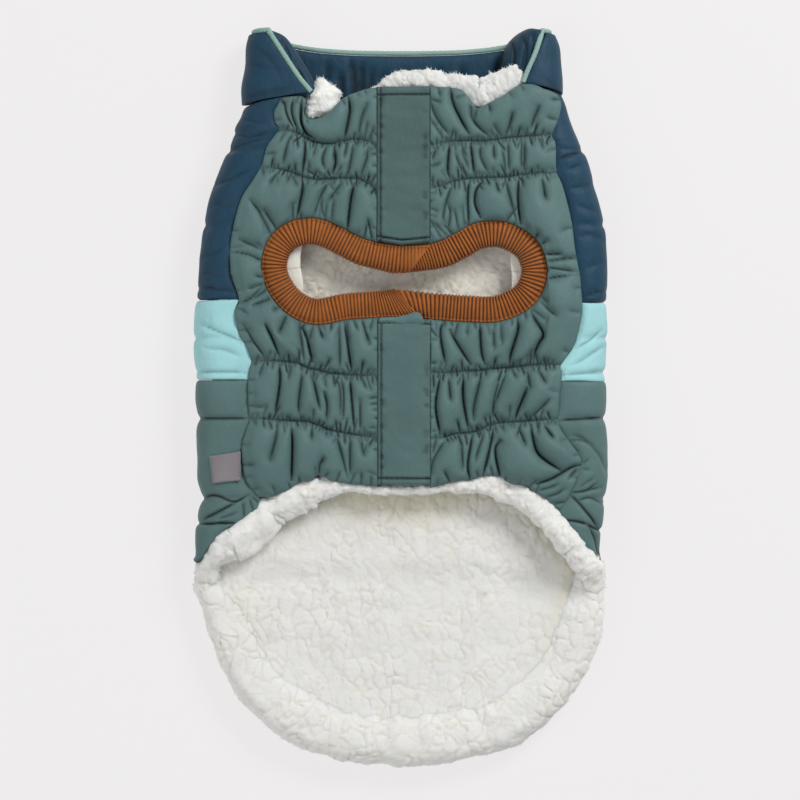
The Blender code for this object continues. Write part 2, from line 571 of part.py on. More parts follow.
def add_piping(outer, inner, collection):
    route = piping_route(outer, inner)
    curve = bpy.data.curves.new("collar_piping", "CURVE")
    curve.dimensions = "3D"
    spline = curve.splines.new("POLY")
    spline.points.add(len(route) - 1)
    for point, place in zip(spline.points, route):
        point.co = (*(place * MM), 1.0)
    curve.bevel_depth = PIPING_RADIUS * MM
    curve.bevel_resolution = 2
    curve.use_fill_caps = True
    obj = bpy.data.objects.new("collar_piping", curve)
    obj.data.materials.append(material("mint"))
    collection.objects.link(obj)
    return obj


# The leg opening's band and the panels round it.

def band_line(side, offset, count=160):
    """The band's middle line moved away from the leg by offset, from the centre out and back."""
    line = smooth_line(BAND_LEFT if side < 0 else BAND_RIGHT, count)
    return line + side * line_normals(line) * offset


def band(name, side, collection):
    line = smooth_line(BAND_LEFT if side < 0 else BAND_RIGHT, BAND_STEPS)
    away = side * line_normals(line)
    sections = []
    for step, (place, normal) in enumerate(zip(line, away)):
        rib = BAND_RIB * (1 if step % 2 else -1)
        ring = [(*(place - normal * share * BAND_WIDTH), z + rib * lift) for share, z, lift in BAND_PROFILE]
        sections.append(ring)
    sections = np.array(sections)
    sections[0, :, 0] = sections[-1, :, 0] = BAND_JOIN_X + side * GAP / 2
    return roll(name, sections, "rust", collection)


def band_edge(side, upper, offset, centre_x):
    """The opening's edge from its outermost point to the centre, above or below the leg."""
    line = band_line(side, offset)
    widest = int(np.argmax(side * line[:, 0]))
    half = line[widest::-1] if upper else line[widest:]
    inside = half[side * half[:, 0] > side * centre_x]
    last = inside[-1]
    if len(inside) == len(half):
        return np.vstack((inside, (centre_x, last[1])))
    after = half[len(inside)]
    share = (centre_x - last[0]) / (after[0] - last[0])
    return np.vstack((inside, last + (after - last) * share))


def panel_plan(side, rows, first, last, centre_x, edge, columns):
    """Plan of a front panel: [section row][column], from the side seam to the centre."""
    levels = range(first, last + 1)
    seam = []
    for row in levels:
        seam.append((side_values(side, row)[1] - side * SLANT_GAP, side_level(side, row)))
    seam = np.array(seam)
    lines = {}
    for row, points in rows.items():
        lines[row] = smooth_line(points, columns + 1)
    lines[SPLIT_ROW] = even_points(np.vstack((seam[SPLIT_ROW - first], edge)), columns + 1)
    marks = sorted(lines)
    plan = np.zeros((len(seam), columns + 1, 2))
    across = np.linspace(0, 1, columns + 1)[:, None]
    for upper, lower in zip(marks, marks[1:]):
        for row in range(upper, lower + 1):
            top, end = seam[upper - first][1], seam[lower - first][1]
            share = (top - seam[row - first][1]) / (top - end)
            line = lines[upper] + (lines[lower] - lines[upper]) * share
            line = line + (seam[row - first] - line[0]) * (1 - across) ** 2
            plan[row - first] = line
    plan[:, -1, 0] = centre_x
    plan[SPLIT_ROW - first, :, 1] += GAP / 2 if first < SPLIT_ROW else -GAP / 2
    return plan, marks


def fold_depth(x, y, folds):
    depth = 0.0
    for fold in folds:
        run = np.array((fold.end_x - fold.top_x, fold.end_y - fold.top_y))
        share = np.dot((x - fold.top_x, y - fold.top_y), run) / np.dot(run, run)
        near = np.array((fold.top_x, fold.top_y)) + run * min(max(share, 0.0), 1.0)
        away = math.hypot(x - near[0], y - near[1])
        depth = max(depth, fold.depth * math.exp(-(away / FOLD_WIDTH) ** 2))
    return depth


def front_panel(name, side, rows, first, last, centre_x, puffs, folds, upper, collection):
    edge = band_edge(side, upper, BAND_WIDTH / 2 + BAND_EDGE_ROOM, centre_x)
    plan, marks = panel_plan(side, rows, first, last, centre_x, edge, PANEL_COLUMNS)
    outer = np.zeros((*plan.shape[:2], 3))
    outer[..., :2] = plan
    inner = outer.copy()
    inner[..., 2] = FRONT_FLOOR
    for start, end in zip(marks, marks[1:]):
        for row in range(start, end + 1):
            share = (row - start) / (end - start)
            rise = puffs[start] * math.sin(math.pi * share) ** PUFF_POWER
            for column, (x, y) in enumerate(plan[row - first]):
                from_side = abs(x - plan[row - first][0][0])
                from_centre = abs(x - centre_x)
                roll_in = min(1.0, (from_side / SIDE_ROLL) ** 0.5, (from_centre / PLACKET_ROLL) ** 0.5)
                height = rise * roll_in - fold_depth(x, y, folds) * (0.25 + 0.75 * rise * roll_in / 8)
                outer[row - first, column, 2] = max(FRONT_SEAM + height, FRONT_FLOOR + MIN_WALL)
    return wall(name, outer, inner, "green", collection)


def front_lining(name, side, rows, upper, collection):
    """The panel's fleece, plain: a neck or hem edge, a middle row and the leg opening's edge."""
    centre_x = CENTRE_LAP + side * GAP / 2
    edge = band_edge(side, upper, 1.0, centre_x)
    side_rows = CHEST_LINING_ROWS if upper else BELLY_LINING_ROWS
    free_edge = rows[0] if upper else rows[max(rows)]
    drop = NECK_LINING_DROP if upper else HEM_LINING_DROP
    lines = []
    for row in side_rows:
        level = side_level(side, row)
        start = (side_values(side, row)[0] - side * FRONT_LINING_INSET, level)
        body = [(0.5 * (start[0] + centre_x), level - 2.0)]
        if row == SPLIT_ROW:
            shift = GAP / 2 if upper else -GAP / 2
            lines.append(even_points(np.vstack((start, edge)), FRONT_LINING_COLUMNS) + (0, shift))
            continue
        if row in (min(CHEST_LINING_ROWS), max(BELLY_LINING_ROWS)):
            body = [(x, y + drop) for x, y in free_edge[1:] if abs(x) < abs(start[0]) - 4]
        lines.append(even_points(np.array([start, *body, (centre_x, body[-1][1])]), FRONT_LINING_COLUMNS))
    outer = np.zeros((len(lines), FRONT_LINING_COLUMNS, 3))
    outer[..., :2] = np.array(lines)
    inner = outer.copy()
    outer[..., 2] = FRONT_LINING_TOP
    inner[..., 2] = FRONT_LINING_TOP - FRONT_LINING_WALL
    return wall(name, outer, inner, "sherpa", collection)


def placket(name, sides, top_line, end_line, collection):
    """A flat strip between the panels; its lines are the upper and the lower edge."""
    left, right = sides[0] + GAP, sides[1] - GAP
    xs = np.linspace(left, right, PLACKET_COLUMNS)
    top = np.interp(xs, *zip(*top_line))
    end = np.interp(xs, *zip(*end_line))
    outer = np.zeros((PLACKET_ROWS, PLACKET_COLUMNS, 3))
    for row, share in enumerate(np.linspace(0, 1, PLACKET_ROWS)):
        outer[row, :, 0] = xs
        outer[row, :, 1] = top + (end - top) * share
        outer[row, :, 2] = PLACKET_TOP + PLACKET_WAVE * math.cos(PLACKET_WAVES * math.pi * share)
    outer[:, 0, 2] = outer[:, -1, 2] = PLACKET_EDGE
    outer[0, :, 2] = outer[-1, :, 2] = PLACKET_EDGE
    inner = outer.copy()
    inner[..., 2] = PLACKET_FLOOR
    return wall(name, outer, inner, "green", collection)


def tape(name, end_y, direction, collection):
    """A flat tape under the placket; only its end shows."""
    centre = (1.0, end_y - direction * TAPE_SIZE[1] / 2, TAPE_FLOOR + TAPE_SIZE[2] / 2)
    bm = bmesh.new()
    bmesh.ops.create_cube(bm, size=1)
    bmesh.ops.scale(bm, vec=Vector(TAPE_SIZE) * MM, verts=bm.verts[:])
    bmesh.ops.translate(bm, vec=Vector(centre) * MM, verts=bm.verts[:])
    return add_object(name, bm, "tape", collection)


def hem_corner(side, row):
    """Where a side wrap ends at the hem: its inner edge in plan, its outer height."""
    outer, inner = shell_wrap(side, row)
    return (inner[-1][0], outer[-1][1], outer[-1][2])


def hem_line():
    """The front hem from the left corner to the right one, with its height."""
    left = [hem_corner(-1, row) for row in range(HEM_ROLL_LAST_ROW, LEFT_HEM_ROW, -1)]
    right = [hem_corner(1, row) for row in range(RIGHT_HEM_ROW + 1, HEM_ROLL_LAST_ROW + 1)]
    middle = [(x, y, FRONT_SEAM) for x, y in BELLY_LEFT_ROWS[LEFT_HEM_ROW][1:-1]]
    middle += [(x, BELLY_TAPE_END - GAP, FRONT_SEAM) for x in HEM_ROLL_CENTRE]
    middle += [(x, y, FRONT_SEAM) for x, y in BELLY_RIGHT_ROWS[RIGHT_HEM_ROW][-2::-1]]
    return smooth_line(left + middle + right, HEM_ROLL_RINGS)


def ring(place, normal, half_width, half_height):
    points = []
    for step in range(ROLL_SIDES):
        turn = 2 * math.pi * step / ROLL_SIDES
        x, y = place[:2] + normal * half_width * math.cos(turn)
        points.append((x, y, place[2] + half_height * math.sin(turn)))
    return points


def hem_rim(collection):
    line = hem_line()
    normals = -line_normals(line)
    sections = []
    for place, normal in zip(line, normals):
        out = place.copy()
        out[:2] += normal * (HEM_ROLL[0] + 2 * GAP)
        out[2] = place[2] - HEM_ROLL_DROP
        sections.append(ring(out, normal, *HEM_ROLL))
    return roll("hem_rim", np.array(sections), "sherpa", collection)


def neck_rim(collection):
    line = smooth_line(NECK_ROLL, NECK_ROLL_RINGS)
    normals = line_normals(line)
    sections = []
    for (x, y, radius), normal in zip(line, normals):
        sections.append(ring(np.array((x, y, NECK_ROLL_CENTRE)), normal, radius, min(radius, NECK_ROLL_MOST)))
    return roll("neck_rim", np.array(sections), "sherpa", collection)


def tail_rim(collection):
    sections = []
    for step, angle in enumerate(np.linspace(RIM_START, RIM_END, RIM_STEPS)):
        gather = RIM_GATHER * math.sin(step * 2.4) * math.cos(step * 0.9)
        section = []
        for inset, z in RIM_PROFILE:
            lift = gather if z > 12 else 0.0
            x, y = tail_outline(angle, inset)
            section.append((x, y, z + lift))
        sections.append(section)
    return roll("tail_rim", np.array(sections), "sherpa", collection)


def wrap_top(x):
    """Height of the left side's top at a place in from its edge."""
    reach = x - SECTIONS[LABEL_ROW].left_fold
    if reach >= FOLD_RADIUS:
        return 2 * FOLD_RADIUS
    return FOLD_RADIUS + math.sqrt(FOLD_RADIUS ** 2 - (FOLD_RADIUS - reach) ** 2)


def add_label(collection):
    top_left, top_right, low_right, low_left = (np.array(corner) for corner in LABEL_CORNERS)
    outer = np.zeros((LABEL_ROWS, LABEL_COLUMNS, 3))
    for row, down in enumerate(np.linspace(0, 1, LABEL_ROWS)):
        start = top_left + (low_left - top_left) * down
        end = top_right + (low_right - top_right) * down
        for column, along in enumerate(np.linspace(0, 1, LABEL_COLUMNS)):
            x, y = start + (end - start) * along
            outer[row, column] = (x, y, wrap_top(x) + LABEL_LIFT + LABEL_WALL)
    inner = outer - np.array((0, 0, LABEL_WALL))
    return wall("label", outer, inner, "grey", collection)


def centre_on_origin(collection):
    """Move every piece so that the coat's box is centred over the origin and stands on it."""
    depsgraph = bpy.context.evaluated_depsgraph_get()
    corners = []
    for obj in collection.objects:
        shape = obj.evaluated_get(depsgraph)
        mesh = shape.to_mesh()
        points = np.empty(3 * len(mesh.vertices), dtype=np.float32)
        mesh.vertices.foreach_get("co", points)
        corners += [points.reshape(-1, 3).min(axis=0), points.reshape(-1, 3).max(axis=0)]
        shape.to_mesh_clear()
    low, high = np.min(corners, axis=0), np.max(corners, axis=0)
    shift = Vector((-(low[0] + high[0]) / 2, -(low[1] + high[1]) / 2, -low[2]))
    for obj in collection.objects:
        obj.location = shift


def build():
    clear_scene()
    collection = bpy.data.collections.new("dog_winter_coat")
    bpy.context.scene.collection.children.link(collection)

    shell_part("back_navy", NECK_ROW, AQUA_TOP, "navy", collection)
    shell_part("back_aqua", AQUA_TOP, AQUA_BASE, "aqua", collection)
    shell_part("back_green", AQUA_BASE, LAST_ROW, "green", collection, tail=True)
    lining_back(collection)
    tail_rim(collection)

    front_panel("chest_left", -1, CHEST_LEFT_ROWS, NECK_ROW, SPLIT_ROW, CHEST_PLACKET[0],
                CHEST_PUFFS, CHEST_LEFT_FOLDS, True, collection)
    front_panel("chest_right", 1, CHEST_RIGHT_ROWS, NECK_ROW, SPLIT_ROW, CHEST_PLACKET[1],
                CHEST_PUFFS, CHEST_RIGHT_FOLDS, True, collection)
    front_panel("belly_left", -1, BELLY_LEFT_ROWS, SPLIT_ROW, LEFT_HEM_ROW, BELLY_PLACKET[0],
                BELLY_PUFFS, BELLY_LEFT_FOLDS, False, collection)
    front_panel("belly_right", 1, BELLY_RIGHT_ROWS, SPLIT_ROW, RIGHT_HEM_ROW, BELLY_PLACKET[1],
                BELLY_PUFFS, BELLY_RIGHT_FOLDS, False, collection)
    front_lining("lining_chest_left", -1, CHEST_LEFT_ROWS, True, collection)
    front_lining("lining_chest_right", 1, CHEST_RIGHT_ROWS, True, collection)
    front_lining("lining_belly_left", -1, BELLY_LEFT_ROWS, False, collection)
    front_lining("lining_belly_right", 1, BELLY_RIGHT_ROWS, False, collection)

    placket("chest_placket", CHEST_PLACKET, CHEST_PLACKET_TOP, CHEST_PLACKET_END, collection)
    placket("belly_placket", BELLY_PLACKET, BELLY_PLACKET_TOP, BELLY_PLACKET_END, collection)
    tape("chest_tape", CHEST_TAPE_END, 1, collection)
    tape("belly_tape", BELLY_TAPE_END, -1, collection)
    band("rib_left", -1, collection)
    band("rib_right", 1, collection)

    outer, inner = collar_grids()
    wall("collar", outer, inner, "navy", collection)
    add_piping(outer, inner, collection)
    neck_rim(collection)
    hem_rim(collection)
    add_label(collection)
    centre_on_origin(collection)


build()
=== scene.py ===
"""Looks of the padded dog coat, laid flat with its front up.

Tables are in millimetres in the coat's own plan: +X right, +Y to the neck, +Z up. The shells, the
gathered panels, the fleece, the knitted band and the small parts are fine meshes over the frame's
solids, made from the same sections as those.
"""
import itertools
import math
from collections import defaultdict, namedtuple

import bmesh
import bpy
import numpy as np
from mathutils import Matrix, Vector


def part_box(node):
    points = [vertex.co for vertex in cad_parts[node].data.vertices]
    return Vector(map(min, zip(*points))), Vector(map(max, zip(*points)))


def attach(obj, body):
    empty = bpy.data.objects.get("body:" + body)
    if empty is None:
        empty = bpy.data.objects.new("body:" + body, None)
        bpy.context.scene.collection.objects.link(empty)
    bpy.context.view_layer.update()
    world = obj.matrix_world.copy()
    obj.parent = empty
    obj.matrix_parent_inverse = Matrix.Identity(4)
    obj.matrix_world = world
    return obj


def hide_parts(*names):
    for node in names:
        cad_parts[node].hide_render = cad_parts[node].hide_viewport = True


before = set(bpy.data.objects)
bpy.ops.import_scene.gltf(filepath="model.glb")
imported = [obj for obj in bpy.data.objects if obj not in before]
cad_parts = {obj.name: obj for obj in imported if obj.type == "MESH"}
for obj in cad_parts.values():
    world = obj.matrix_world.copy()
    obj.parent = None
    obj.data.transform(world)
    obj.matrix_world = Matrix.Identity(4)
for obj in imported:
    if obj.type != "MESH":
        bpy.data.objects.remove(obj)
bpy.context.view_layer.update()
MM = 0.001

# ---------------------------------------------------------------- sizes and sections

FOLD_RADIUS = 15.0          # of the sides, where the back folds up round them
BACK_WALL = 7.5
TAIL_WALL = 5.0
COLLAR_WALL = 6.0
LINING_WALL = 4.0
FRONT_LINING_WALL = 3.2
GAP = 0.3                   # between parts that touch
SLANT_GAP = 0.45            # the same, measured across a slanting seam
FRONT_FLOOR = 22.8          # height of the front panels' underside
FRONT_SEAM = 27.0           # height of the front panels at their seams
SEAM_CEILING = 22.5
FRONT_LINING_TOP = 22.2

LINING_FOLD_INSET = 9.2
LINING_FOLD_RADIUS = 7.0
LINING_FLAP = 30.2
FRONT_LINING_INSET = 25.6
# The neck edge of the back's lining, and the rows of its mesh that bend to it.
LINING_NECK = ((-86.0, 157.0), (-56.0, 153.0), (-46.0, 154.0), (-36.0, 157.5), (-28.0, 160.5),
               (-12.0, 165.0), (0.0, 168.0), (60.0, 168.0), (88.0, 160.5))
LINING_NECK_ROWS = 8
LINING_NECK_SHARE = 0.985

# Places up each fold, as shares of the way to the front seam, and steps across between the folds.
WRAP_SHARES = (0.0, 0.13, 0.26, 0.39, 0.52, 0.65, 0.78, 0.91, 1.0)
UNDER_STEPS = 7
LINING_SHARES = (0.0, 0.25, 0.5, 0.75, 1.0)
LINING_STEPS = 4
# How the shell thins towards its front seam: how deep, from which share on, and its edge's height.
SEAM_DIP = 1.4
SEAM_DIP_START = 0.78
SEAM_WALL = 2.4
SEAM_FREE_ROWS = 5

# The flap: half a superellipse, that leans out by shares of its width at shares of its length.
TAIL_CENTRE = (-0.8, -106.4)
TAIL_HALF_WIDTH = 113.2
TAIL_LENGTH = 96.8
TAIL_POWER = 2.15
TAIL_EDGE_INSET = 8.6
TAIL_LEAN_LEFT = ((0, 0), (0.09, -0.035), (0.19, -0.05), (0.3, -0.062), (0.4, -0.047), (0.6, -0.055),
                  (0.71, -0.043), (0.81, -0.036), (0.91, -0.02), (1, 0))
TAIL_LEAN_RIGHT = ((0, 0), (0.6, 0.0), (0.71, 0.025), (0.81, 0.05), (0.91, 0.11), (1, 0.11))
TAIL_TIP_ANGLE = 86
TAIL_LINING_ROWS, TAIL_LINING_COLUMNS = 160, 231
# Rows of the flap, by their angle on its outline, and the share of each that its edge takes up.
TAIL_ROW_ANGLES = (-4, 6, 16, 27, 38, 49, 60, 70, 79)
TAIL_EDGE_SHARES = (0.04, 0.12, 0.22, 0.3)

# Rows across the shell, neck to hem: on each side the level, the fold's outer edge and the front seam.
Section = namedtuple("Section", "left_y left_fold left_seam right_y right_fold right_seam")
SECTIONS = [Section(*row) for row in (
    (164.2, -86.9, -64.9, 167.5, 89.1, 80.3), (160.9, -87.5, -66.6, 164.2, 89.7, 85.8),
    (155.9, -88.6, -69.3, 159.2, 91.3, 87.5), (150.4, -90.8, -68.8, 151.5, 93.5, 85.8),
    (146.6, -91.9, -66.6, 143.3, 96.8, 82.5), (142.7, -92.4, -69.3, 139.4, 98.5, 84.2),
    (137.2, -94.6, -73.2, 134.5, 101.2, 84.7), (131.7, -97.4, -74.8, 128.4, 103.4, 84.7),
    (126.2, -99.6, -76.5, 122.4, 105.1, 85.2), (118.0, -102.9, -81.4, 116.3, 106.2, 88.0),
    (108.1, -106.2, -87.5, 106.4, 109.5, 90.8), (94.3, -108.9, -91.3, 94.3, 112.2, 93.5),
    (80.6, -110.6, -93.5, 80.6, 113.3, 95.2), (66.3, -111.7, -93.0, 66.3, 113.9, 97.9),
    (53.1, -112.8, -88.6, 51.4, 113.3, 99.0), (46.5, -113.9, -90.8, 44.8, 113.3, 99.0),
    (34.4, -114.4, -88.6, 34.4, 113.9, 96.8), (26.7, -114.4, -84.2, 26.7, 113.3, 94.1),
    (19.5, -113.9, -82.0, 17.3, 112.8, 87.5), (14.0, -113.3, -83.1, 12.9, 112.2, 88.0),
    (9.1, -113.3, -83.6, 8.5, 113.3, 87.5), (-1.9, -113.3, -83.6, -1.9, 113.3, 86.4),
    (-11.8, -112.2, -83.1, -12.4, 112.8, 85.8), (-18.4, -112.8, -84.7, -18.4, 113.3, 87.5),
    (-26.1, -112.8, -86.9, -26.1, 113.9, 93.0), (-34.9, -112.2, -86.9, -34.9, 113.9, 98.5),
    (-45.9, -112.2, -84.7, -44.8, 113.9, 96.3), (-55.3, -110.0, -77.6, -56.4, 112.8, 90.8),
    (-63.5, -111.7, -80.3, -63.5, 112.2, 86.9), (-68.5, -112.2, -88.6, -70.7, 111.1, 90.8),
    (-73.4, -113.3, -96.8, -78.9, 110.0, 99.0), (-80.6, -113.3, -105.1, -84.4, 110.6, 104.5),
    (-87.2, -113.3, -110.6, -89.9, 111.7, 109.5), (-91.0, -113.9, -113.3, -94.3, 112.2, 111.7),
)]
NECK_ROW, SPLIT_ROW, AQUA_TOP, AQUA_BASE, LAST_ROW = 0, 13, 14, 20, 33
LEFT_HEM_ROW, RIGHT_HEM_ROW = 27, 28
LABEL_ROW = 25
# The first rows lean with the collar's seam, which lies at these levels below and beside each fold.
BASE_ROWS = 4
BASE_LEFT = (163.0, 158.9)
BASE_RIGHT = (163.0, 165.6)
CREASED_ROWS = range(26, 31)
# Steps of the shell's mesh between two rows, at creased rows, down the flap, and up each fold.
ROW_STEPS, CREASED_STEPS, TAIL_STEPS, WRAP_STEPS = 10, 20, 4, 9
LINING_ROWS = (0, 3, 6, 9, 13, 18, 21, 24, 26)

# Rows of the collar from its seam up: both wings' free ends, the folds, and the levels behind.
CollarRow = namedtuple("CollarRow", "left_end left_fold left_under middle right_under right_fold"
                                    " right_end radius")
COLLAR_ROWS = [CollarRow(*row) for row in (
    ((-50.8, 166.9), (-87.8, 159.5), 163.6, 163.6, 163.6, (89.2, 166.2), (68.4, 171.9), 15.0),
    ((-57.6, 175.2), (-88.0, 169.5), 171.0, 170.0, 171.0, (89.0, 174.5), (71.2, 179.0), 14.6),
    ((-64.4, 185.4), (-86.0, 181.0), 180.5, 176.5, 180.5, (88.2, 183.5), (74.8, 187.0), 14.0),
    ((-70.2, 194.4), (-85.6, 191.5), 188.5, 183.0, 188.5, (87.4, 192.0), (78.0, 194.4), 13.4),
    ((-74.0, 199.8), (-84.2, 198.8), 194.5, 188.0, 194.5, (85.0, 198.9), (80.0, 199.4), 12.8),
)]

CENTRE_LAP = 1.0            # the x at which the front's two halves lap
# The strips over the closure: their sides, the lines of both ends, how far in from those their rows
# of stitches lie, the seed of their wrinkles and how shaded they are.
Strip = namedtuple("Strip", "left right top end stitch_rows seed shade")
STRIPS = {
    "chest": Strip(-13.0, 15.6, ((-13.0, 169.6), (15.6, 169.9)), ((-13.0, 85.2), (0.6, 83.0), (15.6, 84.6)),
                   (4.4, 2.6), 31, 0.26),
    "belly": Strip(-12.6, 16.0, ((-12.6, 43.0), (0.6, 43.4), (16.0, 42.2)), ((-12.6, -48.3), (16.0, -48.5)),
                   (2.6, 3.6), 33, 0.12),
}

# The gathered front: seams that elastic draws in, by their section row, from the side to the centre.
CHEST_LEFT_ROWS = {
    0: ((-65, 164.5), (-60, 165), (-55, 164.8), (-52.4, 162.4), (-53.4, 158), (-52.8, 153.8),
        (-49.3, 152), (-43.5, 153.2), (-38.5, 157), (-33.8, 161.8), (-29, 165), (-23.5, 167),
        (-19, 168.5), (-13, 169.5)),
    4: ((-66.5, 146.5), (-61, 145.5), (-55.5, 144), (-51, 141), (-45.5, 139.5), (-40, 138.5),
        (-34.5, 139), (-31, 140.5), (-23.5, 141), (-18, 140), (-13, 137)),
    8: ((-76.5, 126.2), (-66.5, 124.5), (-61, 123), (-54, 120.5), (-47.5, 119), (-42, 118.5),
        (-37.5, 120.5), (-33.5, 119.5), (-25.5, 119.5), (-21.5, 119), (-18, 117), (-13, 111)),
}
CHEST_RIGHT_ROWS = {
    0: ((80.3, 167.5), (73.5, 171), (67, 171.5), (62.5, 169.5), (59, 167), (54.5, 164), (49, 161.5),
        (42, 158), (39, 161.5), (36, 165.5), (32.5, 168), (27, 169.5), (16, 170)),
    4: ((82.5, 143.5), (68, 142.5), (56, 141.5), (51.5, 140.5), (46, 140), (29.5, 140), (22.5, 139),
        (16, 137)),
    8: ((85.2, 122.5), (68, 122), (62.5, 120.5), (49, 120), (33.5, 119), (27, 117.5), (21.5, 115),
        (16, 113.5)),
}
BELLY_LEFT_ROWS = {
    18: ((-82, 19.5), (-66.5, 19.5), (-61, 19), (-55.5, 18), (-51, 15.5), (-47.5, 14.5), (-42, 14),
         (-38, 12.5), (-31, 12), (-12.6, 11.5)),
    22: ((-83.1, -12), (-58.5, -13.5), (-49, -14), (-44.5, -16), (-39, -18.5), (-31, -20), (-25.5, -21),
         (-12.6, -23)),
    27: ((-77.6, -55.3), (-71, -55), (-65.5, -53), (-61, -51), (-55.5, -47.5), (-49, -46), (-46, -43.5),
         (-41.5, -44.3), (-38.5, -46.5), (-28, -48.2), (-12.6, -49.5)),
}
BELLY_RIGHT_ROWS = {
    18: ((87.5, 17.3), (76.5, 17.5), (61, 16), (49, 15), (43.5, 14), (35, 14), (27, 13), (16, 13)),
    22: ((85.8, -12.4), (76.5, -13), (62.5, -14), (54.5, -14.5), (49, -15.5), (43.5, -18), (40.5, -19.5),
         (29.5, -20.5), (24, -22.5), (16, -23)),
    28: ((86.9, -63.5), (81, -58), (76.5, -54.5), (72, -51.5), (69, -48.8), (62.5, -48.5), (57, -46.5),
         (54.5, -44), (43.5, -44), (38, -46), (32.5, -46.5), (24, -48.2), (16, -50)),
}
PANEL_STEP = 0.45           # spacing of a front panel's points
LOFT = 4.4                  # height of the padding over the whole row of gathers
PILLOW = 6.4                # height of each pillow between two folds
FOLD_WIDTH = 0.46
SEAM_WIDTH = 0.42
FOLD_GRIP = 34.0            # how hard a fold holds the skin down
SEAM_HOLD = 1.1
CENTRE_RISE = 3.0           # how far its edge stands up against the strip at the centre
OVERHANG = 1.7              # how far a panel bulges over the seam at its side

# Where the left lip of the neck rolls smoothly, with no short folds.
LIP_CENTRE, LIP_RADIUS = (-41.5, 149.0), 10.0

# Short folds at a gathered seam: how far apart, how long and how sharp, each from least to most.
Gather = namedtuple("Gather", "spacing reach sharp")
SPLIT_GATHER = Gather((2.8, 6.0), (3.0, 15.0), (0.2, 1.3))
END_GATHER = Gather((4.5, 10.0), (2.5, 7.0), (0.2, 0.8))
SEAM_GATHER = Gather((1.7, 3.9), (2.5, 9.5), (0.3, 1.7))
FINE_GATHER = Gather((1.0, 2.2), (1.2, 3.4), (0.2, 0.9))
SIDE_GATHER = Gather((6.0, 15.0), (2.5, 8.0), (0.08, 0.5))
CENTRE_GATHER = Gather((3.0, 8.0), (1.5, 6.0), (0.1, 0.7))

# Folds that the elastic draws on each front panel: how sharp, then x and y from point to point.
CHEST_LEFT_FOLDS = (
    (2, -64, 164, -63.5, 158.5, -62, 153, -58.5, 146.5), (2, -59, 163, -60, 157, -59, 152, -56.5, 146),
    (3, -54.4, 163, -54.8, 157, -54.6, 150, -51.5, 144, -47, 141),
    (3, -29, 164.5, -28, 157.5, -29, 151, -31, 141), (1, -18.5, 160, -21.5, 153, -23.5, 142),
    (1, -14.5, 147.5, -17.5, 141), (1, -58.5, 145, -62, 138.5, -65, 127),
    (3, -53, 141, -52.5, 135.5, -54, 121.5), (1, -40.5, 138.5, -43, 130, -42, 124.5),
    (3, -36, 134.5, -36, 127.5, -37.5, 122), (1, -26, 139.5, -28, 127.5, -29.5, 120),
    (1, -18, 136.5, -19, 130, -22.5, 120), (1, -52.5, 124.5, -43.5, 119),
    (3, -54, 120, -54, 113.5, -55.5, 105.5, -57, 98), (1, -39, 118, -43.5, 111, -48, 98),
    (1, -43.5, 108, -43, 101.5, -41, 97), (1, -32, 118, -40, 106.5),
    (3, -25.5, 117, -27.5, 108, -29.5, 90.5), (1, -67, 123.5, -72, 116.5), (1, -60.5, 122.5, -56.5, 115),
    (1, -83, 108, -78.5, 102.5, -75, 96, -70.5, 87), (1, -75, 102.5, -67.5, 90.5),
    (1, -88.5, 86, -76.5, 80.5), (1, -93, 79.5, -83, 77.5, -76, 73.5),
)
BELLY_LEFT_FOLDS = (
    (1, -87.5, 51, -82, 54, -76.5, 59.5), (1, -86, 39.5, -80.5, 30, -74, 21),
    (1, -74, 39, -70.5, 32, -65.5, 20), (1, -56, 42, -55, 34, -53, 17.5),
    (3, -54, 37.5, -51, 30, -48.5, 19), (1, -34, 41, -33.5, 14.5), (3, -31, 41, -29.5, 31, -27, 13.5),
    (1, -45.5, 39.5, -43, 32), (3, -66.5, 17.5, -66.5, 6.5, -69, -10), (1, -54, 13.5, -56, -2, -56, -10),
    (1, -50, 14.5, -47.5, 6.5, -44.5, -7.5), (1, -42, 2.5, -40.5, -4.5, -41, -13),
    (1, -37.5, 11.5, -33.5, 4.5, -33, -10), (1, -33, 10, -31.5, 1, -32, -13),
    (3, -28, 10, -26.5, -7.5, -25.5, -18.5), (1, -22.5, -2, -22.5, -18.5), (1, -21.5, 10, -19, 4.5),
    (1, -67.5, -15.5, -69, -24, -72, -35), (3, -60, -17.5, -59.5, -26.5, -60, -46),
    (1, -36, -21, -33.5, -28.5, -29, -45), (1, -28, -22.5, -28, -43), (1, -22, -24, -20.5, -32),
    (1, -42, -33.5, -44.5, -37.5, -45, -43),
)
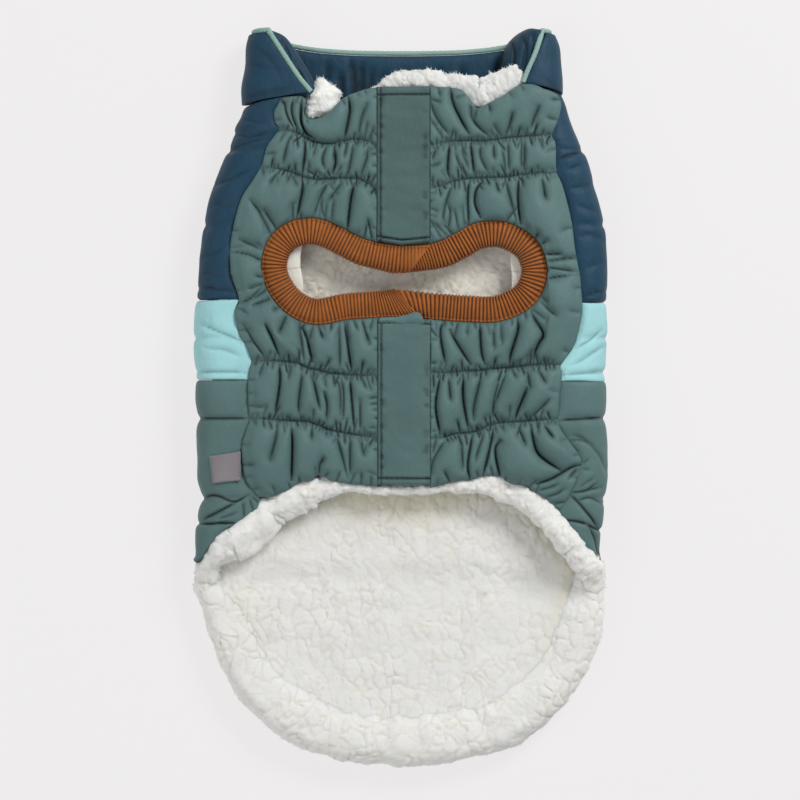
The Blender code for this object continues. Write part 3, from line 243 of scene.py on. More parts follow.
CHEST_RIGHT_FOLDS = (
    (1, 16, 164, 17.5, 156.5, 21.5, 149.5, 27, 142.5), (1, 16, 152, 24, 140),
    (3, 27, 168.5, 28.5, 160.5, 32.5, 152, 37, 144), (1, 38, 158.5, 39, 152, 43.5, 146.5, 49, 142),
    (1, 57, 142, 59, 147.5, 61, 155), (1, 75.5, 158.5, 73, 153, 71, 146.5), (1, 19, 135.5, 17, 130),
    (3, 26.5, 138, 25.5, 124.5, 27, 119), (1, 29.5, 133, 34.5, 120.5), (1, 34, 138, 34, 133, 37, 124.5),
    (3, 38, 138.5, 40, 122), (1, 43.5, 138.5, 43.5, 131, 48, 122), (1, 50.5, 138.5, 51, 130),
    (1, 55.5, 135.5, 57, 125.5, 56, 121.5), (1, 58.5, 140, 59, 123.5), (1, 66, 141.5, 66, 124.5),
    (1, 67.5, 140, 67.5, 124.5), (1, 75, 142.5, 78, 135.5), (1, 29.5, 117.5, 26, 111, 23, 98, 25, 95),
    (1, 25.5, 105.5, 27, 100, 25.5, 91.5), (3, 37.5, 118, 36.5, 111, 37, 94.5),
    (3, 45, 118.5, 41, 112.5, 40.5, 105.5, 43.5, 98), (1, 51.5, 118, 53.5, 112),
    (1, 57, 119, 59, 111, 63.5, 94.5), (3, 64.5, 120, 64, 108, 65.5, 94.5), (1, 77, 120.5, 79, 108),
    (1, 79, 74, 97, 76), (1, 79, 70.5, 95.5, 68.5),
)
BELLY_RIGHT_FOLDS = (
    (1, 13, 40.5, 20.5, 32), (3, 23, 41, 21.5, 34, 24, 19), (3, 27, 36.5, 29.5, 31, 38, 17.5),
    (3, 43, 39.5, 44, 24.5, 46, 17.5), (1, 50.5, 36.5, 51, 26.5),
    (3, 63.5, 43, 64, 36.5, 60, 23, 59.5, 17.5), (3, 71, 46.5, 74, 41, 78, 34, 75, 28.5, 72, 21),
    (3, 21.5, 11.5, 19, -4.5, 21.5, -21), (1, 26, 10, 27, -2), (3, 34, 12, 34, -2, 37, -18.5),
    (1, 44, 12, 40, -4.5, 39.5, -13), (1, 54, 10, 50.5, -4.5, 50.5, -13), (1, 57, 12, 51.5, -3),
    (1, 69, 14.5, 70.5, 4.5), (3, 69, 4.5, 64, -7.5, 62.5, -13), (1, 75, 14.5, 79, 7.5),
    (1, 81, -2, 71, -12), (1, 24, -24, 17.5, -35, 16.5, -43), (1, 33, -24, 34, -40.5),
    (3, 39, -21, 36.5, -37.5, 38, -46), (1, 45.5, -19.5, 40.5, -35), (3, 50.5, -17.5, 49, -26.5, 45, -43),
    (3, 54.5, -24, 51.5, -29.5, 54.5, -45), (1, 63.5, -15.5, 68, -26.5),
    (3, 71, -15.5, 72.5, -24, 75.5, -32, 87.5, -40.5), (1, 78, -15.5, 83, -22.5),
    (3, 97.5, -37.1, 93.5, -38.8, 88.5, -41.5, 82, -45.3, 74, -48), (1, 75, -51.5, 81, -50, 86, -48),
    (1, 79.5, -55, 85, -53.5, 89, -51), (1, 95.5, -39.5, 92, -45), (1, 84, -59, 88.5, -57.5),
)
# Creases and seams on the rounded sides, seen from above, and quilting across the back.
SIDE_FOLDS = (
    (0.8, -95, 134.5, -86, 139, -74, 141), (0.6, -93, 145, -83, 142, -73, 143.5), (0.5, -86, 152, -76, 150),
    (0.5, -102.5, 116.5, -91.5, 120, -82, 123.5), (0.45, -108, 91.5, -99.5, 96, -91.5, 97),
    (0.4, -104, 106, -92, 104), (0.4, -109, 76, -96, 82), (0.35, -110, 68, -99, 66),
    (1.0, -112, 59, -108, 60, -89.5, 57), (2.6, 99.5, 134.5, 93, 132.5, 86.5, 130),
    (0.6, 105, 116.5, 97.5, 114.5, 91, 113.5), (0.5, 111.5, 86, 104, 88.5, 96, 87),
    (0.4, 108, 102, 97, 104), (0.45, 101, 128, 92, 124), (0.4, 112, 74, 101, 70),
    (1.0, 99, 54.5, 109.5, 57.5, 113, 58),
    (1.1, -110.5, 40, -102.5, 36.5, -89.5, 31.5, -87, 28.5), (0.6, -108, 26.5, -97, 25.5, -88, 22),
    (1.0, -113.5, 13.5, -84, 13.5), (1.0, 111, 36.5, 104, 31, 95.5, 26.5),
    (0.7, 112, 27, 101, 21, 93, 17), (1.0, 88.5, 12, 113, 13.5),
    (2.5, -112.5, -12, -83, -12), (2.2, -111, -56.5, -105, -54.3, -99, -55, -91, -57.7, -83, -53.5),
    (2.0, -109.5, -69, -108, -66.5, -99, -62.5, -90, -57.7), (2.4, -112.5, -69.5, -88.5, -69.5),
    (1.4, -86.4, -57.5, -86, -62, -85.8, -67), (1.3, -83, -55.5, -81.5, -60, -80, -64.5),
    (1.1, -81.5, -54.8, -77.5, -58.5), (0.8, -106, -66.5, -96, -62), (0.7, -100, -67, -90, -64),
    (2.5, 86, -13, 113, -11.5), (3.0, 92, -53, 98.5, -59.5, 105, -66.5, 109.5, -73),
    (1.5, 92.5, -53, 110.5, -50), (1.6, 92, -52, 100, -52, 108, -48), (1.3, 95.5, -57, 104, -55.5, 112, -59),
    (1.0, 91, -24.5, 98, -24, 106, -27), (0.7, 90.5, -21.5, 97, -22, 104, -26.5, 110, -33, 113, -41),
    (0.9, 99, -36.5, 103, -34.5), (0.9, 99, -39, 103.5, -40.5), (0.6, 97, -50, 106, -45),
    (3.0, 102.5, -70.5, 106, -72, 111, -73.8), (2.4, 87.5, -67.5, 95.5, -68.5, 103, -70.5),
    (1.8, 103, -71, 108, -79, 112, -94.5),
)
# Rows of stitches beside the seams across the back, x and y of both ends, by their thread.
SIDE_STITCHES = {
    "navy": ((-110.5, 60.0, -89.5, 57.0), (99.0, 54.5, 112.5, 58.0)),
    "aqua": ((-113.0, 12.9, -84.0, 12.9), (88.5, 12.2, 112.5, 13.5)),
}
SIDE_FOLD_WIDTH = 0.6
QUILT_LINES = (135.5, 94.3, 32.0, -12.1, -56.0, -98.0, -140.0)
SIDE_PUFF = 2.3             # how high the padding of the back stands between what holds it
SIDE_GRIP = 14.0
COLLAR_PUFF = 2.6

# The knitted band's two halves: their middle lines, from the centre's top round the leg and back.
BAND_WIDTH = 13.6
BAND_EDGE_ROOM = 0.6
BAND_LEFT = ((0.6, 75.1), (-19.8, 78.4), (-30.8, 83.3), (-41.8, 88.6), (-51.7, 90.2), (-61.1, 87.2),
             (-67.1, 80.6), (-69.3, 71.8), (-67.7, 64.1), (-62.7, 55.8), (-55.6, 49.8), (-45.7, 46.8),
             (-30.8, 49.5), (-14.3, 50.6), (0.6, 50.9))
BAND_RIGHT = ((0.6, 75.1), (21.5, 77.3), (32.5, 82.2), (42.4, 87.5), (52.3, 88.8), (61.1, 86.1),
              (68.8, 80.6), (72.6, 71.8), (72.1, 64.1), (68.2, 56.4), (60.0, 50.9), (50.1, 48.1),
              (35.2, 48.4), (16.0, 49.8), (0.6, 50.9))
# Across the band from its outer edge to the leg: share of the width, height and how far it ribs.
BAND_PROFILE = ((-0.46, 25.4, 0.0), (-0.54, 26.2, 0.0), (-0.56, 27.4, 0.2), (-0.54, 28.4, 0.5),
                (-0.49, 28.9, 0.8), (-0.45, 28.5, 0.8), (-0.41, 28.9, 1.0), (-0.34, 29.4, 1.0),
                (-0.22, 30.0, 1.0), (-0.05, 30.4, 1.0), (0.12, 30.4, 1.0), (0.27, 29.8, 1.0),
                (0.38, 28.7, 1.0), (0.46, 27.2, 1.0), (0.5, 25.6, 0.8), (0.46, 24.2, 0.3), (0.38, 23.4, 0.0))
RIB_PITCH = 2.0
RIB_HEIGHT = 1.05
RIB_STEPS = 6
LAP_REACH = 30.0            # how far from its end a band's ribs start to slant

STRIP_FLOOR = 24.5          # heights of the strips' underside and top
STRIP_TOP = 32.4
STRIP_EDGE = (1.3, 1.6)     # how far in a strip's edge rounds off, and how deep
SIDE_SEAM = 2.2             # from a strip's left edge to its stitches
SEAM_SINK = 0.62            # how deep a strip's stitches lie in it

# Stitches: from one to the next, how long and how thick.
Stitch = namedtuple("Stitch", "pitch length radius")
BACK_STITCH = Stitch(2.6, 1.7, 0.2)
PANEL_STITCH = Stitch(2.3, 1.6, 0.18)
STRIP_STITCH = Stitch(2.7, 1.9, 0.24)
BAND_STITCH = Stitch(2.1, 1.4, 0.15)
LABEL_STITCH = Stitch(1.9, 1.3, 0.16)
STITCH_BOW = (-0.22, 0.0, 0.07, 0.0, -0.22)     # height along a stitch
STITCH_TAPER = (0.55, 0.95, 1.0, 0.95, 0.55)

HEM_ROLL_HEIGHT = 4.4       # half the height of the hem's roll
HEM_ROLL_DROP = 2.8         # how far below its line the roll's middle lies
# How much further in the roll lies than its line, at places across the coat.
HEM_ROLL_INSETS = ((-108, 0.0), (-103, 1.2), (-96, 2.4), (-87, 1.2), (-78, -0.6), (-66, 0.0), (90, 0.0),
                   (98, -2.0), (104, 0.0), (108, 1.5))
HEM_RINGS = 380
# Points of the hem's line on the panels' edges, left and right of the centre.
HEM_LEFT = ((-76.0, -58.0), (-65.5, -53.6), (-52.8, -47.0), (-36.3, -46.5))
HEM_RIGHT = ((49.0, -44.3), (62.7, -48.1), (76.5, -54.7))
HEM_ROLL_CENTRE = (-13.0, 15.0)     # between these the hem runs straight along the strip's end
HEM_ROLL_LAST_ROW = 31
# Where the hem's roll comes down on the flap, left and right: x, y and height.
HEM_ROLL_LEFT_END = ((-102.0, -121.0, 9.0), (-104.0, -111.0, 12.0), (-105.8, -101.0, 16.0),
                     (-106.6, -92.0, 21.5))
HEM_ROLL_RIGHT_END = ((107.6, -95.0, 22.0), (107.4, -103.0, 17.5), (105.4, -112.0, 14.0),
                      (102.4, -121.0, 11.0))
BELLY_TAPE_END = -50.6
# Along the neck's roll: x, y and radius.
NECK_ROLL = ((-19.0, 163.0, 3.4), (-11.0, 167.0, 4.6), (-4.0, 170.6, 5.4), (5.0, 173.2, 5.6),
             (16.0, 172.8, 5.6), (24.0, 171.6, 5.4), (32.0, 170.6, 5.6), (38.0, 168.0, 7.0),
             (43.0, 165.4, 7.8), (50.0, 169.0, 7.4), (58.0, 172.8, 7.0), (64.5, 175.0, 6.4),
             (70.0, 176.0, 4.4))
NECK_RINGS = 190
TUFT_CENTRE = (-43.5, 162.5, 21.4)      # the tuft in the neck's left notch
TUFT_DEPTH = 6.6
# How far the tuft reaches each way: degrees from the right, distance.
TUFT_REACH = ((0, 10.0), (22, 11.6), (60, 9.4), (88, 11.6), (100, 12.2), (114, 9.8), (134, 7.2), (180, 7.8),
              (209, 11.3), (229, 12.4), (260, 10.4), (309, 9.4), (353, 9.4), (360, 10.0))
NECK_ROLL_CENTRE = 22.9
NECK_ROLL_MOST = 5.0
# Round the rim: how far in from the flap's outline and how high, and the steps to the next point.
RIM_PROFILE = ((0.4, 8.0), (1.6, 2.4), (4.2, 0.0), (7.6, 0.0), (7.8, 9.4), (19.0, 8.6),
               (27.0, 8.8), (24.6, 11.6), (20.4, 14.6), (13.6, 16.7), (6.6, 17.1), (1.6, 13.4))
RIM_PROFILE_STEPS = (6, 3, 2, 4, 4, 4, 4, 7, 9, 9, 8, 7)
RIM_SWELL = 0.5
RIM_TAPER = 26.0            # degrees over which the rim narrows towards its ends
RIM_END_INSET = 13.0
RIM_END_FLOOR = 7.9
# How much the flap's fleece rises under the hem and along the rim's inner edge.
HEM_PUFF = 2.6
RIM_INSET, RIM_PUFF = 23.0, 2.6
HEM_PAINTED_SHADE = 0.9            # how much painted warm shade the flap's pile gets in the depth under the hem
RIM_START, RIM_END = -8.2, 188.2
PIPING_RADIUS = 1.4
PIPING_GAP = 0.1
# The label's corners: top left, top right, low right and low left.
LABEL_CORNERS = ((-105.0, -32.7), (-87.8, -30.0), (-87.8, -46.0), (-103.2, -47.6))
LABEL_WALL = 1.0
LABEL_LIFT = 0.35

# ---------------------------------------------------------------- frame of the plan

LABEL_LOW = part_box("label")[0]
SHIFT = np.array((LABEL_LOW[0] / MM - LABEL_CORNERS[0][0], LABEL_LOW[1] / MM - LABEL_CORNERS[3][1], 0.0))
rng = np.random.default_rng(8)
NOISE_CELLS = 8192
TABLE = rng.uniform(-1, 1, NOISE_CELLS)
JITTER = rng.uniform(0.08, 0.92, (NOISE_CELLS, 3))
HASH = np.array((73856093, 19349663, 83492791))


# ---------------------------------------------------------------- curves, grids and noise

def along(values, places):
    """A smooth curve through rows of values, read at fractional row numbers."""
    values = np.asarray(values, dtype=float)
    padded = np.concatenate((2 * values[:1] - values[1:2], values, 2 * values[-1:] - values[-2:-1]))
    start = np.clip(np.floor(places).astype(int), 0, len(values) - 2)
    t = (places - start).reshape(-1, *[1] * (values.ndim - 1))
    a, b, c, d = (padded[start + step] for step in range(4))
    return 0.5 * (2 * b + (c - a) * t + (2 * a - 5 * b + 4 * c - d) * t ** 2
                  + (3 * b - a - 3 * c + d) * t ** 3)


def sample(grid, row_places, column_places):
    rows = along(grid, row_places)
    return along(rows.swapaxes(0, 1), column_places).swapaxes(0, 1)


def read_table(table, places):
    """Values of a two-column table at places between its rows."""
    return np.interp(places, *zip(*table))


def clamp(values):
    return np.clip(values, 0, 1)


def eased(share):
    return share * share * (3 - 2 * share)


def bell(distance, width):
    return np.exp(-(distance / width) ** 2)


def spread(*cells):
    """Fractional places: cells is (number of cells, steps in each), one after another."""
    places, start = [], 0
    for count, steps in cells:
        places.append(start + np.arange(count * steps) / steps)
        start += count
    return np.concatenate((*places, [start]))


def distances(line):
    """How far along a line each of its points lies."""
    return np.concatenate(([0], np.cumsum(np.linalg.norm(np.diff(line, axis=0), axis=1))))


def points_at(line, steps, places):
    """Points at places along a line; steps are the distances of the line's own points."""
    return np.stack([np.interp(places, steps, axis) for axis in line.T], axis=1)


def even_points(points, count):
    points = np.array(points, dtype=float)
    steps = distances(points[:, :2])
    return points_at(points, steps, np.linspace(0, steps[-1], count))


def smooth_line(points, count):
    return even_points(along(points, np.linspace(0, len(points) - 1, 12 * len(points))), count)


def line_length(line):
    return float(np.linalg.norm(np.diff(line, axis=0), axis=1).sum())


def line_normals(points):
    """Unit normals in plan, to the left of the way the points run."""
    run = unit(np.gradient(points[:, :2], axis=0))
    return np.stack((-run[:, 1], run[:, 0]), axis=1)


def unit(vectors):
    return vectors / np.maximum(np.linalg.norm(vectors, axis=-1), 1e-9)[..., None]


def grid_normals(grid, up):
    """Unit normals of a grid, turned so that those at its middle point up or down."""
    normals = unit(np.cross(np.gradient(grid, axis=1), np.gradient(grid, axis=0)))
    middle = normals[len(normals) // 2, normals.shape[1] // 2, 2]
    return normals if (middle > 0) == up else -normals


def flattened(grid, height):
    flat = grid.copy()
    flat[..., 2] = height
    return flat


def raised(plan, height):
    """Points in space over a plan's, at one height or at one for each."""
    return np.concatenate((plan, np.broadcast_to(height, plan.shape[:-1])[..., None]), axis=-1)


def rounded_off(edge):
    """Quarter-round rise from 0 at an edge to 1 where edge reaches 1."""
    return np.sqrt(1 - (1 - edge) ** 2)


def cell_keys(cells):
    return np.bitwise_xor.reduce(cells * HASH, axis=-1) & (NOISE_CELLS - 1)


def bumps(points, size, seed=0):
    """Smooth noise from -1 to 1, with lumps about size across."""
    spots = points / size + seed * 17.31
    base = np.floor(spots).astype(int)
    part = eased(spots - base)
    total = np.zeros(points.shape[:-1])
    for corner in itertools.product((0, 1), repeat=3):
        weight = np.prod(np.where(corner, part, 1 - part), axis=-1)
        total += weight * TABLE[cell_keys(base + corner)]
    return total


# The pile: its clumps' size in x, y and z, the curls on them, and how far both are drawn awry.
CLUMP_SIZE = (6.4, 9.0, 7.0)
CLUMP_EDGE = 0.26
CURL_SIZE = 2.7
WARP_SIZE, WARP_REACH = 6.5, 3.2


def clumps(spots):
    """Distances to the nearest and the next of scattered spots, one in each unit cell."""
    base = np.floor(spots).astype(int)
    nearest = np.full(spots.shape[:-1], 9.0)
    second = nearest.copy()
    for step in itertools.product((-1, 0, 1), repeat=3):
        cell = base + step
        away = np.linalg.norm(cell + JITTER[cell_keys(cell)] - spots, axis=-1)
        second = np.minimum(second, np.maximum(nearest, away))
        nearest = np.minimum(nearest, away)
    return nearest, second


def fleece(points, size=1.0):
    """Height of matted curls, from about 0 to 1, and how deep in the cracks each point lies, for the painted
    shade there.
    """
    warp = np.stack([bumps(points, WARP_SIZE, seed) for seed in (1, 2, 3)], axis=-1) * WARP_REACH
    nearest, second = clumps((points + warp) / (np.array(CLUMP_SIZE) * size))
    rounded = rounded_off(clamp((second - nearest) / CLUMP_EDGE))
    small, small_next = clumps((points + 0.6 * warp) / (CURL_SIZE * size) + 40)
    curl = np.sqrt(clamp((small_next - small) / 0.55))
    open_crack = clamp(0.75 + 0.9 * bumps(points, 13.0, 21))
    height = 0.46 * rounded * open_crack + 0.26 * (1 - nearest) + 0.12 * curl
    height += 0.07 * bumps(points, 1.1, 5) + 0.3 * bumps(points, 8.0, 22)
    return height, (1 - rounded) * open_crack * 0.55 + (1 - curl) * 0.05


def line_distance(spots, line):
    """Distance of each spot from a line in plan, and the share of the line that lies before it."""
    start, run = line[:-1], np.diff(line, axis=0)
    size = np.maximum((run ** 2).sum(axis=1), 1e-9)
    share = clamp(((spots[:, None] - start) * run).sum(axis=2) / size)
    away = np.linalg.norm(start + share[..., None] * run - spots[:, None], axis=2)
    best = away.argmin(axis=1)
    rows = np.arange(len(spots))
    return away[rows, best], (best + share[rows, best]) / len(run)


def fold_field(plan, folds, width):
    """How strongly folds hold the skin at each point of a plan."""
    field = np.zeros(plan.shape[:-1])
    for strength, *flat in folds:
        line = np.array(flat, dtype=float).reshape(-1, 2)
        if len(line) > 2:
            line = smooth_line(line, 12)
        near = ((plan > line.min(axis=0) - 4 * width) & (plan < line.max(axis=0) + 4 * width)).all(axis=-1)
        if not near.any():
            continue
        away, share = line_distance(plan[near], line)
        fade = np.clip(np.minimum(share, 1 - share) / 0.2, 0.3, 1.0)
        field[near] = np.maximum(field[near], strength * fade * bell(away, width))
    return field


OVER_RELAXATION = 1.7
INFLATE_ROUNDS = 280


def inflate(points, most, grip, pinned, free_end=None):
    """Height of a skin blown up between the points that hold it.

    The height's square follows a screened Poisson equation, which levels off at most. free_end is
    (row, columns) of an edge that goes on into the next piece.
    """
    across = np.linalg.norm(np.diff(points, axis=1), axis=2)
    down = np.linalg.norm(np.diff(points, axis=0), axis=2)
    ax = 4 / (across[1:-1, :-1] + across[1:-1, 1:]) ** 2
    ay = 4 / (down[:-1, 1:-1] + down[1:, 1:-1]) ** 2
    hold = 2 / most ** 2 + grip[1:-1, 1:-1]
    total = 2 * ax + 2 * ay + hold
    free = ~pinned[1:-1, 1:-1]
    parity = np.add.outer(np.arange(free.shape[0]), np.arange(free.shape[1])) % 2
    masks = [OVER_RELAXATION * (free & (parity == colour)) for colour in (0, 1)]
    u = np.zeros(points.shape[:2])
    inside = u[1:-1, 1:-1]
    for _ in range(INFLATE_ROUNDS):
        for mask in masks:
            new = (ax * (u[1:-1, :-2] + u[1:-1, 2:]) + ay * (u[:-2, 1:-1] + u[2:, 1:-1]) + 1) / total
            inside += (new - inside) * mask
        if free_end:
            row, columns = free_end
            u[row, 1:columns] = u[1 if row == 0 else -2, 1:columns]
    return np.sqrt(2 * np.maximum(u, 0))


def border(rows, columns):
    pinned = np.zeros((rows, columns), dtype=bool)
    pinned[0] = pinned[-1] = True
    pinned[:, 0] = pinned[:, -1] = True
    return pinned


def puckers(line, gather, random):
    """Short folds that a gathered seam throws, as rows like the listed ones."""
    normals = line_normals(line)
    runs = unit(np.gradient(line, axis=0))
    steps = distances(line)
    least, most = gather.reach
    found, place = [], random.uniform(*gather.spacing)
    while place < steps[-1]:
        at = int(np.searchsorted(steps, place))
        for side in (-1, 1):
            if random.random() < 0.8:
                length = least + (most - least) * random.random() ** 2
                way = side * normals[at] + random.uniform(-0.45, 0.45) * runs[at]
                end = line[at] + way * length
                found.append((random.uniform(*gather.sharp), *line[at], *end))
        place += random.uniform(*gather.spacing)
    return found


# ---------------------------------------------------------------- meshes

def place_in_scene(name, data, location=(0, 0, 0)):
    thing = bpy.data.objects.new(name, data)
    thing.location = location
    bpy.context.scene.collection.objects.link(thing)
    return thing


SHARP_ANGLE = 60            # degrees from which an edge between two faces is drawn sharp


def new_piece(name, points, faces, material, node=None, slot=None, crease=None):
    """A piece of the coat from points in millimetres of the plan, and how much painted shade darkens each of
    its points.
    """
    mesh = bpy.data.meshes.new(name)
    mesh.from_pydata(((points + SHIFT) * MM).tolist(), [], faces)
    bm = bmesh.new()
    bm.from_mesh(mesh)
    bmesh.ops.recalc_face_normals(bm, faces=bm.faces[:])
    bm.to_mesh(mesh)
    bm.free()
    mesh.shade_smooth()
    mesh.set_sharp_from_angle(angle=math.radians(SHARP_ANGLE))
    # How far each point's colour is darkened with painted shade, for the material to read.
    values = np.zeros(len(points), dtype=np.float32)
    if crease is not None:
        values[:crease.size] = crease.ravel()
    mesh.attributes.new("crease", "FLOAT", "POINT").data.foreach_set("value", values)
    mesh.materials.append(material)
    piece = place_in_scene(name, mesh)
    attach(piece, "root")
    if node:
        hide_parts(node)
    return piece


def quads(index):
    cells = np.stack((index[:-1, :-1], index[:-1, 1:], index[1:, 1:], index[1:, :-1]), axis=-1)
    return cells.reshape(-1, 4).tolist()


def tube_faces(rings, sides):
    """Numbers of the points of a tube's rings, and the faces between them."""
    index = np.arange(rings * sides).reshape(rings, sides)
    return index, quads(np.concatenate((index, index[:, :1]), axis=1))


def wall_piece(name, outer, inner, step, material, **details):
    """A closed wall: a fine outer grid, an inner one that keeps every step-th point, and its edge."""
    rows, columns = outer.shape[:2]
    back_rows = sorted({*range(0, rows, step), rows - 1})
    back_columns = sorted({*range(0, columns, step), columns - 1})
    front = np.arange(rows * columns).reshape(rows, columns)
    back = rows * columns + np.arange(len(back_rows) * len(back_columns))
    back = back.reshape(len(back_rows), len(back_columns))
    faces = quads(front) + quads(back[:, ::-1])
    edges = ((front[0], back[0], back_columns), (front[-1], back[-1], back_columns),
             (front[:, 0], back[:, 0], back_rows), (front[:, -1], back[:, -1], back_rows))
    for line, far, marks in edges:
        line, far = line.tolist(), far.tolist()
        for k, (start, end) in enumerate(zip(marks, marks[1:])):
            faces += [(line[j], line[j + 1], far[k]) for j in range(start, end)]
            faces.append((line[end], far[k + 1], far[k]))
    points = np.concatenate((outer.reshape(-1, 3), inner[np.ix_(back_rows, back_columns)].reshape(-1, 3)))
    return new_piece(name, points, faces, material, **details)


def tube_piece(name, sections, material, **details):
    """A closed tube through sections, [section][point], with its ends closed by fans."""
    count, sides = sections.shape[:2]
    index, faces = tube_faces(count, sides)
    tips = np.stack((sections[0].mean(axis=0), sections[-1].mean(axis=0)))
    for tip, ring in ((count * sides, index[0]), (count * sides + 1, index[-1])):
        ring = ring.tolist()
        faces += [(tip, a, b) for a, b in zip(ring, ring[1:] + ring[:1])]
    points = np.concatenate((sections.reshape(-1, 3), tips))
    return new_piece(name, points, faces, material, **details)


def join_tubes(name, tubes, material, slot):
    """Many small tubes of one make as one piece, each closed by a face at both ends."""
    tubes = np.array(tubes)
    index, one = tube_faces(*tubes.shape[1:3])
    one += [index[0].tolist()[::-1], index[-1].tolist()]
    faces = [[corner + index.size * k for corner in face] for k in range(len(tubes)) for face in one]
    new_piece(name, tubes.reshape(-1, 3), faces, material, slot=slot)


def sweep(route, radius_of, sides):
    """Rings round a route in space."""
    run = unit(np.gradient(route, axis=0))
    side_way = unit(np.cross(run, np.array((0.13, 0.21, 0.97))))
    up_way = np.cross(side_way, run)
    turns = np.linspace(0, 2 * math.pi, sides, endpoint=False)
    return np.array([place + radius * (np.outer(np.cos(turns), side) + np.outer(np.sin(turns), up))
                     for place, side, up, radius in zip(route, side_way, up_way, radius_of)])


def tube_normals(sections):
    """Unit normals of a tube's points, outwards."""
    round_way = np.roll(sections, -1, axis=1) - np.roll(sections, 1, axis=1)
    normals = unit(np.cross(round_way, np.gradient(sections, axis=0)))
    outward = sections - sections.mean(axis=1, keepdims=True)
    if (normals * outward).sum() < 0:
        normals = -normals
    return normals


WISPS = []
WISP_SIDES, WISP_STEPS = 3, 3


def add_wisps(points, normals, count, length, seed):
    """Small locks of pile that stand out of a fleece edge, kept until they are joined."""
    random = np.random.default_rng(seed)
    spots, ways = points.reshape(-1, 3), normals.reshape(-1, 3)
    chosen = random.choice(len(spots), count, replace=False)
    for at in chosen:
        lean = random.normal(0, 0.75, 3)
        way = ways[at] + lean
        way /= np.linalg.norm(way)
        bend = random.normal(0, 0.5, 3)
        reach = length * random.uniform(0.4, 1.0)
        steps = np.linspace(0, 1, WISP_STEPS)[:, None]
        line = spots[at] - 0.4 * ways[at] + reach * (way * steps + 0.5 * bend * steps ** 2)
        line[:, 2] = np.maximum(line[:, 2], 0.3)
        thick = random.uniform(0.22, 0.5) * (1 - 0.85 * steps[:, 0])
        WISPS.append(sweep(line, thick, WISP_SIDES))


# ---------------------------------------------------------------- materials

class Cloth:
    """A material on the Principled shader, with the nodes for its tones, creases and bumps."""

    def __init__(self, name, colour, roughness, sheen, specular):
        self.material = bpy.data.materials.new(name)
        self.material.use_nodes = True
        self.tree = self.material.node_tree
        self.shader = self.tree.nodes["Principled BSDF"]
        self.set({"Base Color": (*colour, 1), "Roughness": roughness, "Specular IOR Level": specular,
                  "Sheen Weight": sheen, "Sheen Roughness": 0.45})
        self.where = self.add("TexCoord").outputs["Object"]
        self.normal = None

    def set(self, values):
        for socket, value in values.items():
            self.shader.inputs[socket].default_value = value

    def add(self, kind, **values):
        node = self.tree.nodes.new("ShaderNode" + kind)
        for socket, value in values.items():
            node.inputs[socket].default_value = value
        return node

    def texture(self, mapping, texture):
        self.tree.links.new(self.where, mapping.inputs["Vector"])
        self.tree.links.new(mapping.outputs["Vector"], texture.inputs["Vector"])
        return texture.outputs["Fac"]

    def noise(self, scale, detail, stretch=(1, 1, 1)):
        return self.texture(self.add("Mapping", Scale=stretch),
                            self.add("TexNoise", Scale=scale, Detail=detail))

    def wave(self, scale, turn, distortion=0.4):
        return self.texture(self.add("Mapping", Rotation=(0, 0, turn)),
                            self.add("TexWave", Scale=scale, Distortion=distortion))

    def tones(self, noise, low, high, shadow):
        """From low to high with the noise, then towards the shadow's colour as painted shade, as far as each
        point's attribute says.
        """
        ramp = self.add("ValToRGB")
        for element, place, colour in zip(ramp.color_ramp.elements, (0.3, 0.7), (low, high)):
            element.position = place
            element.color = (*colour, 1)
        crease = self.add("Attribute")
        crease.attribute_name = "crease"
        mix = self.add("Mix")
        mix.data_type = "RGBA"
        mix.inputs[7].default_value = (*shadow, 1)
        for output, socket in ((noise, ramp.inputs["Fac"]), (crease.outputs["Fac"], mix.inputs["Factor"]),
                               (ramp.outputs["Color"], mix.inputs[6]),
                               (mix.outputs[2], self.shader.inputs["Base Color"])):
            self.tree.links.new(output, socket)

    def bump(self, height, distance, strength):
        """One more bump, distance in millimetres, on top of those that the shader has."""
        node = self.add("Bump", Distance=distance * MM, Strength=strength)
        self.tree.links.new(height, node.inputs["Height"])
        if self.normal:
            self.tree.links.new(self.normal, node.inputs["Normal"])
        self.normal = node.outputs["Normal"]
        self.tree.links.new(self.normal, self.shader.inputs["Normal"])


def scaled(colour, factor):
    return tuple(channel * factor for channel in colour)


def nylon(name, colour, shadow):
    """Fine padded nylon: faint weave, small crinkles and a soft sheen."""
    cloth = Cloth(name, colour, 0.58, sheen=0.06, specular=0.22)
    cloth.tones(cloth.noise(38, 5.0), scaled(colour, 0.92), scaled(colour, 1.08), scaled(colour, shadow))
    cloth.bump(cloth.noise(260, 3.0, (1.5, 0.8, 1)), 0.8, 0.5)
    cloth.bump(cloth.noise(900, 2.0), 0.25, 0.4)
    for turn in (0.0, math.pi / 2):
        cloth.bump(cloth.wave(900, turn), 0.03, 0.3)
    return cloth.material


def sherpa(name, colour, deep):
    """Curly pile: soft and matt, with painted shade in its cracks, warmer and darker by the factors in deep.
    """
    cloth = Cloth(name, colour, 0.95, sheen=0.35, specular=0.15)
    cloth.set({"Subsurface Weight": 0.6, "Subsurface Scale": 0.0035, "Subsurface Radius": (1.0, 0.88, 0.7)})
    warm_shade = tuple(channel * part for channel, part in zip(colour, deep))
    cloth.tones(cloth.noise(55, 4.0), scaled(colour, 0.97), colour, warm_shade)
    cloth.bump(cloth.noise(420, 3.0), 0.9, 0.35)
    cloth.bump(cloth.noise(1500, 3.0), 0.35, 0.5)
    return cloth.material


def knit(name, colour):
    cloth = Cloth(name, colour, 0.9, sheen=0.12, specular=0.12)
    # Painted shade in the grooves between the ribs, down to 0.16 of the colour.
    cloth.tones(cloth.noise(160, 4.0), scaled(colour, 0.86), scaled(colour, 1.12), scaled(colour, 0.16))
    cloth.bump(cloth.wave(420, math.pi / 4, 3.0), 0.2, 0.4)
    cloth.bump(cloth.noise(1300, 3.0), 0.2, 0.5)
    return cloth.material


